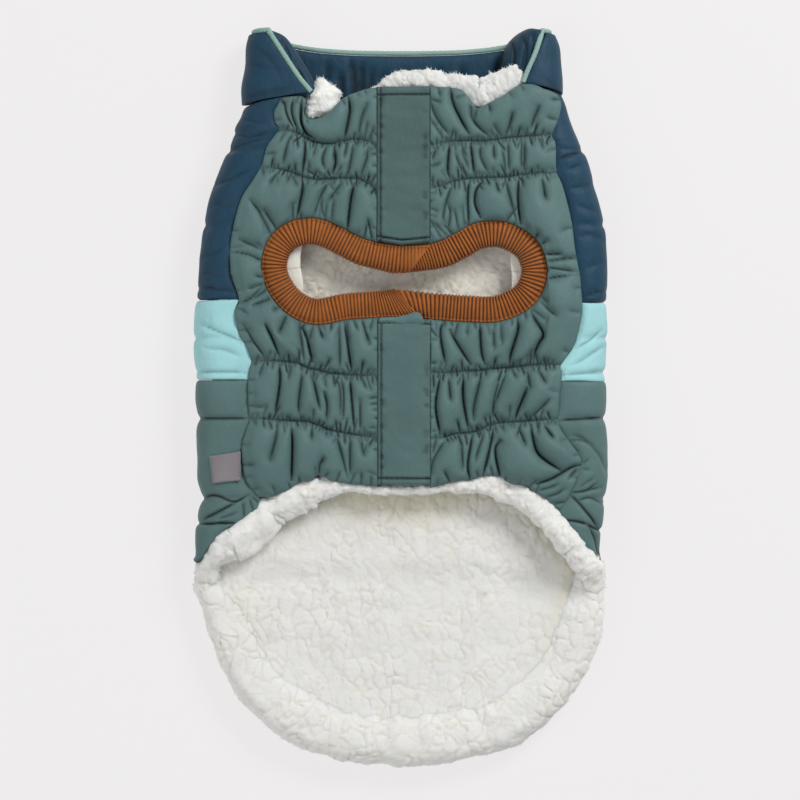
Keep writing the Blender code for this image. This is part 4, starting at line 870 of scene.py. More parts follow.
def plain_weave(name, colour, roughness, pitch, depth):
    cloth = Cloth(name, colour, roughness, sheen=0.15, specular=0.3)
    cloth.tones(cloth.noise(120, 4.0), scaled(colour, 0.93), scaled(colour, 1.07), scaled(colour, 0.5))
    for turn in (math.pi / 4, -math.pi / 4):
        cloth.bump(cloth.wave(pitch, turn), depth, 0.5)
    return cloth.material


# The nylons: colour, and how dark their painted shade in folds and creases is, as a share of it.
NAVY = nylon("navy_nylon_cloth", (0.007, 0.038, 0.069), 0.2)
AQUA = nylon("aqua_nylon_cloth", (0.282, 0.525, 0.545), 0.3)
GREEN = nylon("green_nylon_cloth", (0.074, 0.134, 0.132), 0.06)
SHERPA = sherpa("sherpa_pile", (0.695, 0.689, 0.667), (0.90, 0.86, 0.71))
# A darker copy of the pile for the neck's roll: painted shade, to dim its raised, upward-facing top.
SHERPA_NECK_SHADED = sherpa("sherpa_neck_pile_shaded", (0.600, 0.600, 0.585), (0.92, 0.87, 0.74))
# A warmer copy of the pile with much darker cracks: painted shade for the fleece that lies in shade inside
# the coat.
SHERPA_INSIDE_SHADED = sherpa("sherpa_inside_shaded", (0.735, 0.715, 0.650), (0.62, 0.57, 0.47))
RUST = knit("rust_rib", (0.310, 0.100, 0.024))
MINT = plain_weave("mint_cord", (0.205, 0.335, 0.292), 0.6, 700, 0.1)
TAPE = plain_weave("hook_tape", (0.780, 0.780, 0.760), 0.8, 380, 0.3)
GREY = plain_weave("label_weave", (0.185, 0.170, 0.182), 0.7, 600, 0.12)

# The threads: colour, roughness and the slot of the cloth that each sews.
THREADS = {
    "green": ((0.026, 0.052, 0.052), 0.7, "green_nylon"),
    "aqua": ((0.240, 0.500, 0.520), 0.7, "aqua_nylon"),
    "navy": ((0.012, 0.032, 0.060), 0.7, "navy_nylon"),
    "rust": ((0.230, 0.070, 0.018), 0.8, "rust_rib_knit"),
    "grey": ((0.110, 0.100, 0.105), 0.8, "grey_label"),
}


# ---------------------------------------------------------------- the folded back

def climb_to(reach, radius):
    """Length up a fold to the point that lies reach in from its outer edge, over the top."""
    if reach >= radius:
        return math.pi * radius + reach - radius
    return radius * (math.pi - math.asin(1 - reach / radius))


def fold_point(side, fold_x, radius, climb, inset, floor=0.0):
    """Point of a fold at a length up from the surface. side is -1 on the left and 1 on the right."""
    turn = min(climb / radius, math.pi)
    x = fold_x - side * radius + side * (radius - inset) * math.sin(turn)
    x -= side * max(0.0, climb - math.pi * radius)
    return x, floor + radius - (radius - inset) * math.cos(turn)


def side_level(side, row):
    return SECTIONS[row].left_y if side < 0 else SECTIONS[row].right_y


def side_values(side, row):
    section = SECTIONS[row]
    return (section.left_fold, section.left_seam) if side < 0 else (section.right_fold, section.right_seam)


def wrap_y(side, row, climb, length):
    """Height of a section row on a fold; the rows near the collar lean with its seam."""
    level = side_level(side, row)
    if row >= BASE_ROWS:
        return level
    top, low = side_level(side, 0), side_level(side, BASE_ROWS)
    under, edge = BASE_LEFT if side < 0 else BASE_RIGHT
    seam = float(np.interp(climb, (0, FOLD_RADIUS * math.pi / 2, length), (under, edge, top)))
    return low + (level - low) / (top - low) * (seam - low)


def shell_wrap(side, row):
    """Outer and inner points up one fold, from the surface to the front seam."""
    fold_x, seam_x = side_values(side, row)
    length = climb_to(abs(seam_x - fold_x), FOLD_RADIUS)
    outer, inner = [], []
    for share in WRAP_SHARES:
        climb = share * length
        turn = min(climb / FOLD_RADIUS, math.pi)
        near_seam = max(0.0, (share - SEAM_DIP_START) / (1 - SEAM_DIP_START))
        pinch = SEAM_DIP * near_seam ** 2 * abs(math.cos(turn)) if turn > math.pi / 2 else 0.0
        y = wrap_y(side, row, climb, length)
        for layer, inset in ((outer, pinch), (inner, BACK_WALL)):
            x, z = fold_point(side, fold_x, FOLD_RADIUS, climb, inset)
            layer.append((x, y, z))
    if row < LAST_ROW - SEAM_FREE_ROWS:
        outer[-1] = (seam_x, outer[-1][1], max(outer[-1][2], SEAM_CEILING + SEAM_WALL))
        inner[-1] = (seam_x, inner[-1][1], SEAM_CEILING)
        before = inner[-2]
        clear_x = side * max(side * before[0], side * seam_x + GAP)
        inner[-2] = (clear_x, before[1], min(before[2], SEAM_CEILING))
    return outer, inner


def full_row(left, right, floor, top, steps):
    """Join two folds across the underside; each is a pair of point lists."""
    rows = []
    for layer, height in ((0, floor), (1, top)):
        start, end = np.array(left[layer][0]), np.array(right[layer][0])
        start[2] = end[2] = height
        under = [start + (end - start) * step / steps for step in range(1, steps)]
        rows.append(list(reversed(left[layer][1:])) + [start] + under + [end] + list(right[layer][1:]))
    return rows


def tail_outline(angle, inset=0.0):
    """Points of the flap's outline; 0 degrees is the right-hand corner, 90 the tip."""
    c, s = np.cos(np.radians(angle)), np.sin(np.radians(angle))
    power = 2 / TAIL_POWER
    x = (TAIL_HALF_WIDTH - inset) * np.copysign(np.abs(c) ** power, c)
    y = -(TAIL_LENGTH - inset) * np.copysign(np.abs(s) ** power, s)
    level = clamp(-y / TAIL_LENGTH)
    lean = np.where(x < 0, read_table(TAIL_LEAN_LEFT, level), read_table(TAIL_LEAN_RIGHT, level))
    return TAIL_CENTRE[0] + x * (1 + lean), TAIL_CENTRE[1] + y


def tail_row(step, wraps, columns):
    """Row of the flap: the columns that made the folds, then those across, then the folds again."""
    angle = TAIL_ROW_ANGLES[step]
    right = tail_outline(angle, TAIL_EDGE_INSET)
    left = tail_outline(180 - angle, TAIL_EDGE_INSET)
    edge = TAIL_EDGE_SHARES[min(step, len(TAIL_EDGE_SHARES) - 1)]
    share = np.interp(range(columns), (0, wraps, columns - 1 - wraps, columns - 1), (0, edge, 1 - edge, 1))
    x = left[0] + (right[0] - left[0]) * share
    return [np.column_stack((x, np.full(columns, right[1]), np.full(columns, z))) for z in (0.0, TAIL_WALL)]


def shell_piece(word, first, last, material, tail=False):
    """Part of the back: its padding puffs between its seams, inside the frame's rounded form."""
    rows = [full_row(shell_wrap(-1, row), shell_wrap(1, row), 0.0, BACK_WALL, UNDER_STEPS)
            for row in range(first, last + 1)]
    wraps = len(WRAP_SHARES) - 1
    if tail:
        rows += [tail_row(step, wraps, len(rows[0][0])) for step in range(len(TAIL_ROW_ANGLES))]
    cells = [(1, CREASED_STEPS if row in CREASED_ROWS else ROW_STEPS) for row in range(first, last)]
    row_places = spread(*cells, (len(rows) - 1 - len(cells), TAIL_STEPS))
    column_places = spread((wraps, WRAP_STEPS), (UNDER_STEPS, 6), (wraps, WRAP_STEPS))
    outer, inner = (sample(np.array([row[layer] for row in rows]), row_places, column_places)
                    for layer in (0, 1))
    outer[..., 2] = np.maximum(outer[..., 2], 0.0)
    for layer in (outer, inner):
        if first > NECK_ROW:
            layer[0, :, 1] -= GAP / 2
        if not tail:
            layer[-1, :, 1] += GAP / 2
    outer, creases = puffed_shell(outer)
    for ends in SIDE_STITCHES.get(word, ()):
        spots = even_points(np.reshape(ends, (-1, 2)), 40)
        heights = surface_height(outer[outer[..., 2] > 12], spots) + 0.15
        add_stitches(raised(spots, heights), word, BACK_STITCH)
    # Painted shade along the back's folds and creases.
    wall_piece(word + "_back_cloth", outer, inner, 4, material, node="back_" + word,
               slot=word + "_nylon", crease=clamp(0.62 * creases))


def puffed_shell(outer):
    """The outer layer sunk in at its seams, folds and quilting, and how deep it is creased."""
    top_side = clamp((outer[..., 2] - 6) / 8)
    creases = top_side * fold_field(outer[..., :2], SIDE_FOLDS, SIDE_FOLD_WIDTH)
    grip = SIDE_GRIP * creases
    for level in QUILT_LINES:
        grip += SIDE_GRIP * 1.5 * (1 - 0.75 * top_side) * bell(outer[..., 1] - level, 1.1)
    puff = inflate(outer, SIDE_PUFF, grip, border(*outer.shape[:2]))
    columns = np.arange(outer.shape[1])
    from_seam = np.minimum(columns, columns[::-1]) / WRAP_STEPS
    at_seam = np.where(outer[..., 2] > 20, np.interp(from_seam, (0, 1.5), (0.12, 1.0)), 1.0)
    sink = (SIDE_PUFF - puff) * np.interp(outer[..., 2], (0, 6), (0.55, 0.8)) * at_seam
    wave = 0.9 * top_side * bumps(outer, 21.0, 3) ** 2 + 0.18 * top_side * (1 + bumps(outer, 6.0, 4))
    outer = outer - grid_normals(outer, up=False) * (sink + wave)[..., None]
    outer[..., 2] = np.maximum(outer[..., 2], 0.0)
    return outer, creases


# ---------------------------------------------------------------- linings

def lining_wrap(side, row):
    """Points of the lining's under and upper side up one fold."""
    fold_x = side_values(side, row)[0] - side * LINING_FOLD_INSET
    layers = []
    for inset in (0.0, LINING_WALL):
        wrap = [fold_point(side, fold_x, LINING_FOLD_RADIUS, share * LINING_FLAP, inset, BACK_WALL + GAP)
                for share in LINING_SHARES]
        layers.append([(x, side_level(side, row), z) for x, z in wrap])
    return layers


def pile(points, normals, lift, size=1.0):
    """Points raised by curls, and the painted shade for how deep in the cracks each lies."""
    height, pile_shade = fleece(points, size)
    return points + normals * ((height - 0.45) * lift)[..., None], pile_shade


def fluff(points, normals, lift):
    """Loose pile at an edge: small curls with tufts that stand out."""
    raised, pile_shade = pile(points, normals, 0.8 * lift, 0.9)
    tufts = 0.5 * bumps(points, 7.0, 30) + 0.5 * clamp(bumps(points, 3.4, 31) + 0.1) ** 1.5
    tufts += 0.22 * clamp(bumps(points, 1.7, 32))
    spread_way = np.stack([bumps(points, 2.2, seed) for seed in (33, 34, 35)], axis=-1)
    return raised + (normals + 0.35 * spread_way) * (lift * tufts)[..., None], pile_shade * 0.8


def lining_body():
    """The fleece inside the back, its neck edge cut along its own line and left ragged."""
    floor = BACK_WALL + GAP
    rows = [full_row(lining_wrap(-1, row), lining_wrap(1, row), floor, floor + LINING_WALL, LINING_STEPS)
            for row in LINING_ROWS]
    rows[0] = [np.array(layer) for layer in rows[0]]
    neck = [layer.copy() for layer in rows[0]]
    for edge, first in zip(neck, rows[0]):
        edge[:, 0] *= LINING_NECK_SHARE
        edge[:, 1] = read_table(LINING_NECK, edge[:, 0])
        first[:, 1] = np.minimum(first[:, 1], read_table(LINING_NECK, first[:, 0]) - 1)
    rows.insert(0, neck)
    wraps = len(LINING_SHARES) - 1
    row_places = spread((1, LINING_NECK_ROWS), (3, 6), (2, 52), (2, 5), (1, 22))
    column_places = spread((wraps, 2), (1, 26), (2, 44), (1, 26), (wraps, 2))
    under, upper = (sample(np.array([row[layer] for row in rows]), row_places, column_places)
                    for layer in (0, 1))
    share = 1 - np.arange(LINING_NECK_ROWS)[:, None] / LINING_NECK_ROWS
    for layer in (under, upper):
        neck_rows = layer[:LINING_NECK_ROWS]
        neck_rows[..., 1] += share * (read_table(LINING_NECK, layer[0, :, 0]) - layer[0, :, 1])
        neck_rows[..., 1] += share * (1.3 * bumps(neck_rows, 6.0, 81) + 0.7 * bumps(neck_rows, 2.6, 82) - 1.2)
    upper[:3, :, 2] -= np.array((1.5, 0.5, 0.15))[:, None]
    normals = grid_normals(upper, up=True)
    wave = np.array((0, 0, 0.5)) * bumps(upper, 24.0, 7)[..., None]
    upper, pile_shade = pile(upper + wave, normals, 2.4, 0.8)
    # Painted shade in the pile's cracks, made half again as strong.
    wall_piece("sherpa_lining_body", upper, under, 6, SHERPA_INSIDE_SHADED, node="lining_back",
               slot="sherpa_fleece", crease=clamp(1.5 * pile_shade))


def tail_lining_plan(start_y):
    """Plan of the flap's fleece, row by row from start_y to its tip, and the rows' levels."""
    across = np.linspace(-1, 1, TAIL_LINING_COLUMNS)
    angles = np.linspace(-2, TAIL_TIP_ANGLE, 130)
    inset = TAIL_EDGE_INSET + 2 * GAP
    levels = np.linspace(start_y, tail_outline(TAIL_TIP_ANGLE, inset)[1], TAIL_LINING_ROWS)
    x = np.zeros((len(levels), len(across)))
    for turned, shown in ((180 - angles, across < 0), (angles, across >= 0)):
        edge_x, edge_y = tail_outline(turned, inset)
        half = np.interp(-levels, -edge_y, np.abs(edge_x - TAIL_CENTRE[0]))
        half = np.minimum(half, np.interp(levels, (-99, -90, start_y), (102.5, 99.0, 97.0)))
        x[:, shown] = TAIL_CENTRE[0] + np.outer(half, across[shown])
    return x, levels


def lining_tail():
    """The flap's fleece, from under the front hem to the rolled rim."""
    x, levels = tail_lining_plan(side_level(-1, LINING_ROWS[-1]) - GAP)
    y = np.repeat(levels[:, None], x.shape[1], axis=1)
    thin = (BACK_WALL - TAIL_WALL) * eased(clamp((-88 - levels) / 16))
    base = (BACK_WALL - thin + GAP)[:, None] + np.zeros_like(x)
    under = np.stack((x, y, base), axis=-1)
    upper = under + (0, 0, LINING_WALL)
    spots = upper[..., :2].reshape(-1, 2)
    rim_edge = np.column_stack(tail_outline(np.linspace(-4, 184, 120), RIM_INSET))
    from_hem, from_rim = (line_distance(spots, line)[0].reshape(x.shape)
                          for line in (hem_line(150)[:, :2], rim_edge))
    hem_puff = HEM_PUFF * np.interp(x, (-95, -70, -30), (2.5, 1.9, 1))
    upper[..., 2] += 0.8 * bumps(upper, 26.0, 7) + hem_puff * np.exp(-from_hem / 14)
    upper[..., 2] += RIM_PUFF * np.exp(-from_rim / 9)
    upper, pile_shade = pile(upper, np.array((0, 0, 1.0)) + np.zeros_like(upper), 2.0)
    # Painted warm shade in the depth under the hem, on top of the painted shade in the pile's cracks.
    hem_shade = HEM_PAINTED_SHADE * np.interp(x, (-95, -60, 75, 92), (0.1, 1, 1, 1.25))
    pile_shade = pile_shade + hem_shade * np.exp(-np.maximum(from_hem - 8, 0) / 8)
    # Broken lines of painted shade along the rim's inner edge.
    rim_shade_line = clamp(0.4 + 1.3 * bumps(upper, 15.0, 71)) * np.interp(y, (-130, -112), (1, 0.3))
    pile_shade += rim_shade_line * np.exp(-from_rim / 1.9)
    wall_piece("sherpa_lining_tail", upper, under, 6, SHERPA, node="lining_back",
               slot="sherpa_fleece", crease=pile_shade)


# ---------------------------------------------------------------- collar

def collar_row(row, inset):
    """A row of the collar: up the left fold, across behind the neck and up the right one."""
    wraps = []
    for side, end, fold, under in ((-1, row.left_end, row.left_fold, row.left_under),
                                   (1, row.right_end, row.right_fold, row.right_under)):
        length = climb_to(abs(end[0] - fold[0]), row.radius)
        half = row.radius * math.pi / 2
        lengths = (0.0, half, max(length, half + 0.1))
        wrap = []
        for climb in np.array(WRAP_SHARES) * length:
            x, z = fold_point(side, fold[0], row.radius, climb, inset)
            wrap.append((x, float(np.interp(climb, lengths, (under, fold[1], end[1]))), z))
        wraps.append(wrap)
    left, right = wraps
    start, end = np.array(left[0]), np.array(right[0])
    across = []
    for step in range(1, UNDER_STEPS):
        share = step / UNDER_STEPS
        point = start + (end - start) * share
        point[1] = row.middle + (point[1] - row.middle) * abs(2 * share - 1) ** 3
        across.append(point)
    return left[::-1] + across + right


COLLAR_GATHERS = (
    (2.4, -33.5, 164, -33, 178), (4.0, -27, 164, -26, 172, -27.5, 185), (3.2, -21.5, 164, -21.5, 184),
    (2.0, -17, 166, -16, 180), (1.6, -11, 166, -9.5, 178), (3.0, 54, 166, 53, 178, 55, 186),
    (1.4, 20, 166, 21, 180), (1.2, 2, 166, 2, 178), (1.0, 33, 170, 34, 182), (1.0, -42, 172, -40, 184),
)
WING_FOLDS = ((1.2, -86, 164, -74, 166.5, -60, 169), (0.7, -80, 192, -72, 186, -66, 176),
              (0.5, 86, 170, 78, 174), (0.4, -84, 184, -74, 180))


def collar():
    """The collar, stretched over its padding outside and gathered inside."""
    outer, inner = (np.array([collar_row(row, inset) for row in COLLAR_ROWS]) for inset in (0.0, COLLAR_WALL))
    route = piping_route(outer, inner)
    wraps = len(WRAP_SHARES) - 1
    row_places = spread((len(COLLAR_ROWS) - 1, 11))
    column_places = spread((wraps, 6), (UNDER_STEPS, 16), (wraps, 6))
    outer, inner = (sample(layer, row_places, column_places) for layer in (outer, inner))
    pinned = border(*outer.shape[:2])
    normals = grid_normals(outer, up=False)
    top_side = clamp((outer[..., 2] - 8) / 8)
    grip = SIDE_GRIP * top_side * fold_field(outer[..., :2], WING_FOLDS, 1.4)
    puff = inflate(outer, COLLAR_PUFF, grip, pinned)
    sink = (COLLAR_PUFF - puff) * 0.12 + 0.4 * top_side * bumps(outer, 16.0, 8) ** 2
    outer = outer - normals * sink[..., None]
    outer[..., 2] = np.maximum(outer[..., 2], 0.0)
    flat_side = clamp((9 - inner[..., 2]) / 2)
    grip = 1.4 * flat_side * fold_field(inner[..., :2], COLLAR_GATHERS, 1.5)
    swell = inflate(inner, COLLAR_PUFF, grip, pinned)
    inner = inner + normals * ((COLLAR_PUFF - swell) * 1.1 + 0.35 * bumps(inner, 9.0, 9))[..., None]
    # Painted shade where the outside's padding is pinched down, and along the gathers inside.
    crease = np.concatenate((bell(puff, 0.9).ravel() * 0.5, np.clip(0.35 * grip.ravel(), 0, 0.7)))
    wall_piece("collar_cloth", outer, inner, 1, NAVY, node="collar", slot="navy_nylon", crease=crease)
    add_piping(route)
    lobe("collar_lobe_left", LOBE_LEFT, 25.6, 16.0, 1.2)
    lobe("collar_lobe_right", LOBE_RIGHT, 25.2, 8.5, 2.0)


# The collar's inside, turned out past the piping: x, y at the piping, then x, y at its far edge.
LOBE_LEFT = ((-72.8, 200.4, -72.1, 201.2), (-69.8, 196.1, -64.5, 198.2), (-66.6, 190.6, -59.6, 192.8),
             (-63.3, 185.1, -55.6, 186.7), (-60.0, 179.6, -51.4, 180.2), (-56.2, 174.1, -47.9, 174.1),
             (-52.1, 168.5, -46.0, 168.0), (-50.1, 163.4, -46.8, 162.5))
LOBE_RIGHT = ((77.6, 200.6, 75.4, 201.6), (78.2, 197.4, 69.9, 202.2), (78.2, 194.4, 63.0, 198.8),
              (76.6, 190.6, 57.6, 192.8), (74.5, 185.1, 56.1, 186.0), (71.2, 178.5, 54.8, 178.5),
              (67.3, 171.9, 53.4, 170.5))
LOBE_FOLDS = ((2.5, 60.5, 198, 62.5, 188, 60, 174), (1.6, 66, 200.5, 68.5, 190, 66, 176),
              (1.0, 72, 200, 73, 186), (1.0, -66, 197, -60, 184), (0.8, -59, 186, -53, 172))
LOBE_WALL = 2.4


def lobe(name, table, top, low, bulge):
    """Cloth of the collar's inside, rolled out past its piping."""
    edges = along(np.array(table), np.linspace(0, len(table) - 1, 90))
    turn = np.linspace(0, 1, 44)[None, :]
    plan = edges[:, None, :2] * (1 - turn[..., None]) + edges[:, None, 2:] * turn[..., None]
    width = np.linalg.norm(edges[:, :2] - edges[:, 2:], axis=1)[:, None]
    fall = np.minimum(top - low, 0.95 * width)
    height = top - fall * (1 - np.sqrt(np.maximum(1 - turn ** 2.2, 0)))
    height = height + bulge * np.sin(math.pi * turn) * clamp(width / 10)
    grid = raised(plan, height)
    field = fold_field(plan, LOBE_FOLDS, 1.3)
    grid[..., 2] += 0.8 * bumps(grid, 9.0, 43) - 1.1 * field
    # Painted shade over the whole lobe, deeper along its folds.
    wall_piece(name, grid, grid - (0, 0, LOBE_WALL), 3, NAVY, slot="navy_nylon",
               crease=np.clip(0.18 + 0.25 * field, 0, 0.6))


def piping_route(outer, inner):
    """Along both wings' free edges and the collar's top, just clear of them."""
    middle = (outer + inner) / 2
    clear = PIPING_RADIUS + PIPING_GAP
    left = middle[:, 0] + clear * unit(middle[:, 0] - middle[:, 1])
    right = middle[:, -1] + clear * unit(middle[:, -1] - middle[:, -2])
    up = clear * unit(middle[-1] - middle[-2])
    return np.vstack((left, left[-1] + up[0], middle[-1] + up, right[-1] + up[-1], right[::-1]))


def add_piping(route):
    line = along(route, np.linspace(0, len(route) - 1, 520))
    line[:, 2] += 2.2 * clamp(line[:, 2] / 10 - 1)
    radius = PIPING_RADIUS * (0.98 + 0.05 * np.cos(distances(line) * 2.6) + 0.05 * bumps(line, 5.0, 2))
    tube_piece("piping", sweep(line, radius, 12), MINT, node="collar_piping", slot="mint_piping")


# ---------------------------------------------------------------- the front

# A panel: its side, gathered rows, folds, first and last section row, edge at the centre and seed.
Panel = namedtuple("Panel", "side rows folds first last centre_x seed")
CHEST_SPAN = (NECK_ROW, SPLIT_ROW)
PANELS = {
    "chest_left": Panel(-1, CHEST_LEFT_ROWS, CHEST_LEFT_FOLDS, *CHEST_SPAN, STRIPS["chest"].left, 21),
    "chest_right": Panel(1, CHEST_RIGHT_ROWS, CHEST_RIGHT_FOLDS, *CHEST_SPAN, STRIPS["chest"].right, 22),
    "belly_left": Panel(-1, BELLY_LEFT_ROWS, BELLY_LEFT_FOLDS, SPLIT_ROW, LEFT_HEM_ROW,
                        STRIPS["belly"].left, 23),
    "belly_right": Panel(1, BELLY_RIGHT_ROWS, BELLY_RIGHT_FOLDS, SPLIT_ROW, RIGHT_HEM_ROW,
                         STRIPS["belly"].right, 24),
}
PANEL_COLUMNS = 60


def band_line(side, offset):
    line = smooth_line(BAND_LEFT if side < 0 else BAND_RIGHT, 220)
    return line + side * line_normals(line) * offset


def band_edge(side, upper, offset, centre_x):
    """The opening's edge from its outermost point to the centre, above or below the leg."""
    line = band_line(side, offset)
    widest = int(np.argmax(side * line[:, 0]))
    half = line[widest::-1] if upper else line[widest:]
    inside = half[side * half[:, 0] > side * centre_x]
    last = inside[-1]
    if len(inside) == len(half):
        return np.vstack((inside, (centre_x, last[1])))
    after = half[len(inside)]
    share = (centre_x - last[0]) / (after[0] - last[0])
    return np.vstack((inside, last + (after - last) * share))


def panel_plan(panel, edge):
    """Plan of a front panel: [section row][column], from the side seam to the centre."""
    side, first, count = panel.side, panel.first, PANEL_COLUMNS + 1
    seam = np.array([(side_values(side, row)[1] - side * SLANT_GAP, side_level(side, row))
                     for row in range(first, panel.last + 1)])
    lines = {row: smooth_line(points, count) for row, points in panel.rows.items()}
    lines[SPLIT_ROW] = even_points(np.vstack((seam[SPLIT_ROW - first], edge)), count)
    marks = sorted(lines)
    plan = np.zeros((len(seam), count, 2))
    across = np.linspace(0, 1, count)[:, None]
    for upper, lower in zip(marks, marks[1:]):
        top, low = seam[upper - first][1], seam[lower - first][1]
        for row in range(upper, lower + 1):
            share = (top - seam[row - first][1]) / (top - low)
            line = lines[upper] + (lines[lower] - lines[upper]) * share
            plan[row - first] = line + (seam[row - first] - line[0]) * (1 - across) ** 2
    plan[:, -1, 0] = panel.centre_x
    return plan, marks


def in_roll(tuck):
    """Whether a short fold would break the smooth roll of the neck's left lip."""
    return any(math.hypot(x - LIP_CENTRE[0], y - LIP_CENTRE[1]) < LIP_RADIUS
               for x, y in zip(tuck[1::2], tuck[2::2]))


def panel_folds(panel, marks, edge, fine):
    """The seams across a panel, and the short folds at them and at its edges."""
    random = np.random.default_rng(panel.seed)
    seams, tucks = [], []
    for row in marks:
        line = smooth_line(panel.rows[row], 90) if row in panel.rows else even_points(edge, 90)
        if row == SPLIT_ROW:
            kinds = (SPLIT_GATHER,)
        elif row in (panel.first, panel.last):
            kinds = (END_GATHER,)
        else:
            kinds = (SEAM_GATHER, FINE_GATHER)
            seams.append((SEAM_HOLD, *line.ravel()))
        for kind in kinds:
            tucks += puckers(line, kind, random)
    tucks += puckers(fine[:, 0], SIDE_GATHER, random)
    tucks += puckers(fine[:, -1], CENTRE_GATHER, random)
    return seams, [tuck for tuck in tucks if not in_roll(tuck)]


def front_panel(panel):
    """Gathered, padded cloth: blown up between its seams and held down along every fold."""
    upper = panel.first == NECK_ROW
    edge = band_edge(panel.side, upper, BAND_WIDTH / 2 + BAND_EDGE_ROOM, panel.centre_x)
    plan, marks = panel_plan(panel, edge)
    height, width = line_length(plan[:, PANEL_COLUMNS // 2]), line_length(plan[len(plan) // 2])
    fine = sample(plan, even_places(plan, int(height / PANEL_STEP)),
                  np.linspace(0, PANEL_COLUMNS, int(width / PANEL_STEP)))
    grid = raised(fine, 0.0)
    seams, tucks = panel_folds(panel, marks, edge, fine)
    hard = fold_field(fine, seams, SEAM_WIDTH)
    soft = fold_field(fine, [*panel.folds, *tucks], FOLD_WIDTH)

    split = -1 if upper else 0
    outside = int(np.searchsorted(distances(fine[split]), np.linalg.norm(edge[0] - fine[split, 0])))
    pinned = border(*fine.shape[:2])
    loft = inflate(grid, LOFT, FOLD_GRIP * (0.15 * hard + 0.01 * soft), pinned, (split, outside))
    pillow = inflate(grid, PILLOW, FOLD_GRIP * (hard + soft), pinned, (split, outside))
    wrinkle = 0.28 * bumps(grid / (1.0, 2.6, 1.0), 4.2, panel.seed) + 0.45 * bumps(grid, 11.0, panel.seed + 3)
    rise = (0.85 * loft + 0.9 * pillow) * (1 + 0.10 * bumps(grid, 17.0, panel.seed + 5))
    across = np.array([distances(row) for row in fine])
    rise *= 1 - 0.4 * np.exp(-across / 5.0)
    rise += CENTRE_RISE * np.exp(-(across[:, -1:] - across) / 1.3)
    grid[..., 2] = FRONT_SEAM + rise + wrinkle * clamp(pillow / 3)
    grid[..., 0] += panel.side * OVERHANG * bell(across - 1.2, 1.1)
    # The second value is painted shade along the seams and folds.
    return grid, clamp(0.6 * hard + 0.85 * soft ** 0.8), seams, outside


def match_split(upper, lower, outside_upper, outside_lower):
    """Make two panels meet at one height where they join beside the band."""
    start, end = upper[-1, :outside_upper], lower[0, :outside_lower]
    for own, other, grid, row in ((start, end, upper, -1), (end, start, lower, 0)):
        count = len(own)
        order = np.argsort(other[:, 0])
        wanted = (np.interp(own[:, 0], other[order, 0], other[order, 2]) + own[:, 2]) / 2
        change = np.zeros(grid.shape[1])
        change[:count] = wanted - own[:, 2]
        change[count:] = change[count - 1] * np.exp(-np.arange(grid.shape[1] - count) / 3)
        grid[..., 2] += change * bell(np.abs(grid[..., 1] - grid[row, :, 1]), 5)


def front_side(word):
    """Both panels of one side, with the seams' stitches."""
    names = ("chest_" + word, "belly_" + word)
    chest, belly = (front_panel(PANELS[name]) for name in names)
    match_split(chest[0], belly[0], chest[3], belly[3])
    for name, (grid, crease, seams, _) in zip(names, (chest, belly)):
        wall_piece(name + "_cloth", grid, flattened(grid, FRONT_FLOOR), 5, GREEN, node=name,
                   slot="green_nylon", crease=crease)
        for seam in seams:
            line = even_points(np.reshape(seam[1:], (-1, 2)), 60)[2:-2]
            heights = surface_height(grid, line) + 0.12
            add_stitches(raised(line, heights), "green", PANEL_STITCH)


def even_places(plan, count):
    """Fractional rows of a plan that lie evenly along its middle column."""
    steps = distances(plan[:, plan.shape[1] // 2])
    return np.interp(np.linspace(0, steps[-1], count), steps, np.arange(len(steps)))


CHEST_LINING_ROWS = (3, 6, 9, SPLIT_ROW)
BELLY_LINING_ROWS = (SPLIT_ROW, 18, 21, 24, LEFT_HEM_ROW)
LINING_CRESCENTS = (-54.6, 61.0)        # how far the linings show past the band at its ends
NECK_LINING_DROP = -9.0
HEM_LINING_DROP = 1.0


def front_lining(part, word):
    """A panel's fleece inside the coat."""
    panel = PANELS[part + "_" + word]
    side, upper = panel.side, part == "chest"
    centre_x = CENTRE_LAP + side * GAP / 2
    edge = band_edge(side, upper, 1.0, centre_x)
    widest = LINING_CRESCENTS[0 if side < 0 else 1]
    edge[:, 0] = side * np.minimum(side * edge[:, 0], side * widest)
    edge[:, 0] += 0.9 * np.sin(edge[:, 1] / 4.3) * (np.abs(edge[:, 0] - widest) < 0.01)
    free_edge = panel.rows[panel.first if upper else panel.last]
    drop = NECK_LINING_DROP if upper else HEM_LINING_DROP
    lines = []
    for row in CHEST_LINING_ROWS if upper else BELLY_LINING_ROWS:
        level = side_level(side, row)
        start = (side_values(side, row)[0] - side * FRONT_LINING_INSET, level)
        body = [(0.5 * (start[0] + centre_x), level - 2.0)]
        if row == SPLIT_ROW:
            side_part = even_points(np.array((start, edge[0])), 13)
            shift = (0, 0.02 if upper else -0.02)
            lines.append(np.vstack((side_part, even_points(edge, 29)[1:])) + shift)
            continue
        if row in (CHEST_LINING_ROWS[0], BELLY_LINING_ROWS[-1]):
            body = [(x, y + drop) for x, y in free_edge[1:] if abs(x) < abs(start[0]) - 4]
        lines.append(even_points(np.array([start, *body, (centre_x, body[-1][1])]), 41))
    plan = along(np.array(lines), spread((len(lines) - 1, 14)))
    top = raised(plan, FRONT_LINING_TOP)
    down = np.array((0, 0, -1.0)) + np.zeros_like(top)
    # Painted shade in the cracks of the pile on the underside.
    under, pile_shade = pile(top - (0, 0, FRONT_LINING_WALL), down, 0.9)
    top, _ = pile(top, -down, 0.9)
    wall_piece(f"sherpa_{part}_{word}", under, top, 1, SHERPA_INSIDE_SHADED, node=f"lining_{part}_{word}",
               slot="sherpa_fleece", crease=pile_shade)


# ---------------------------------------------------------------- knitted band

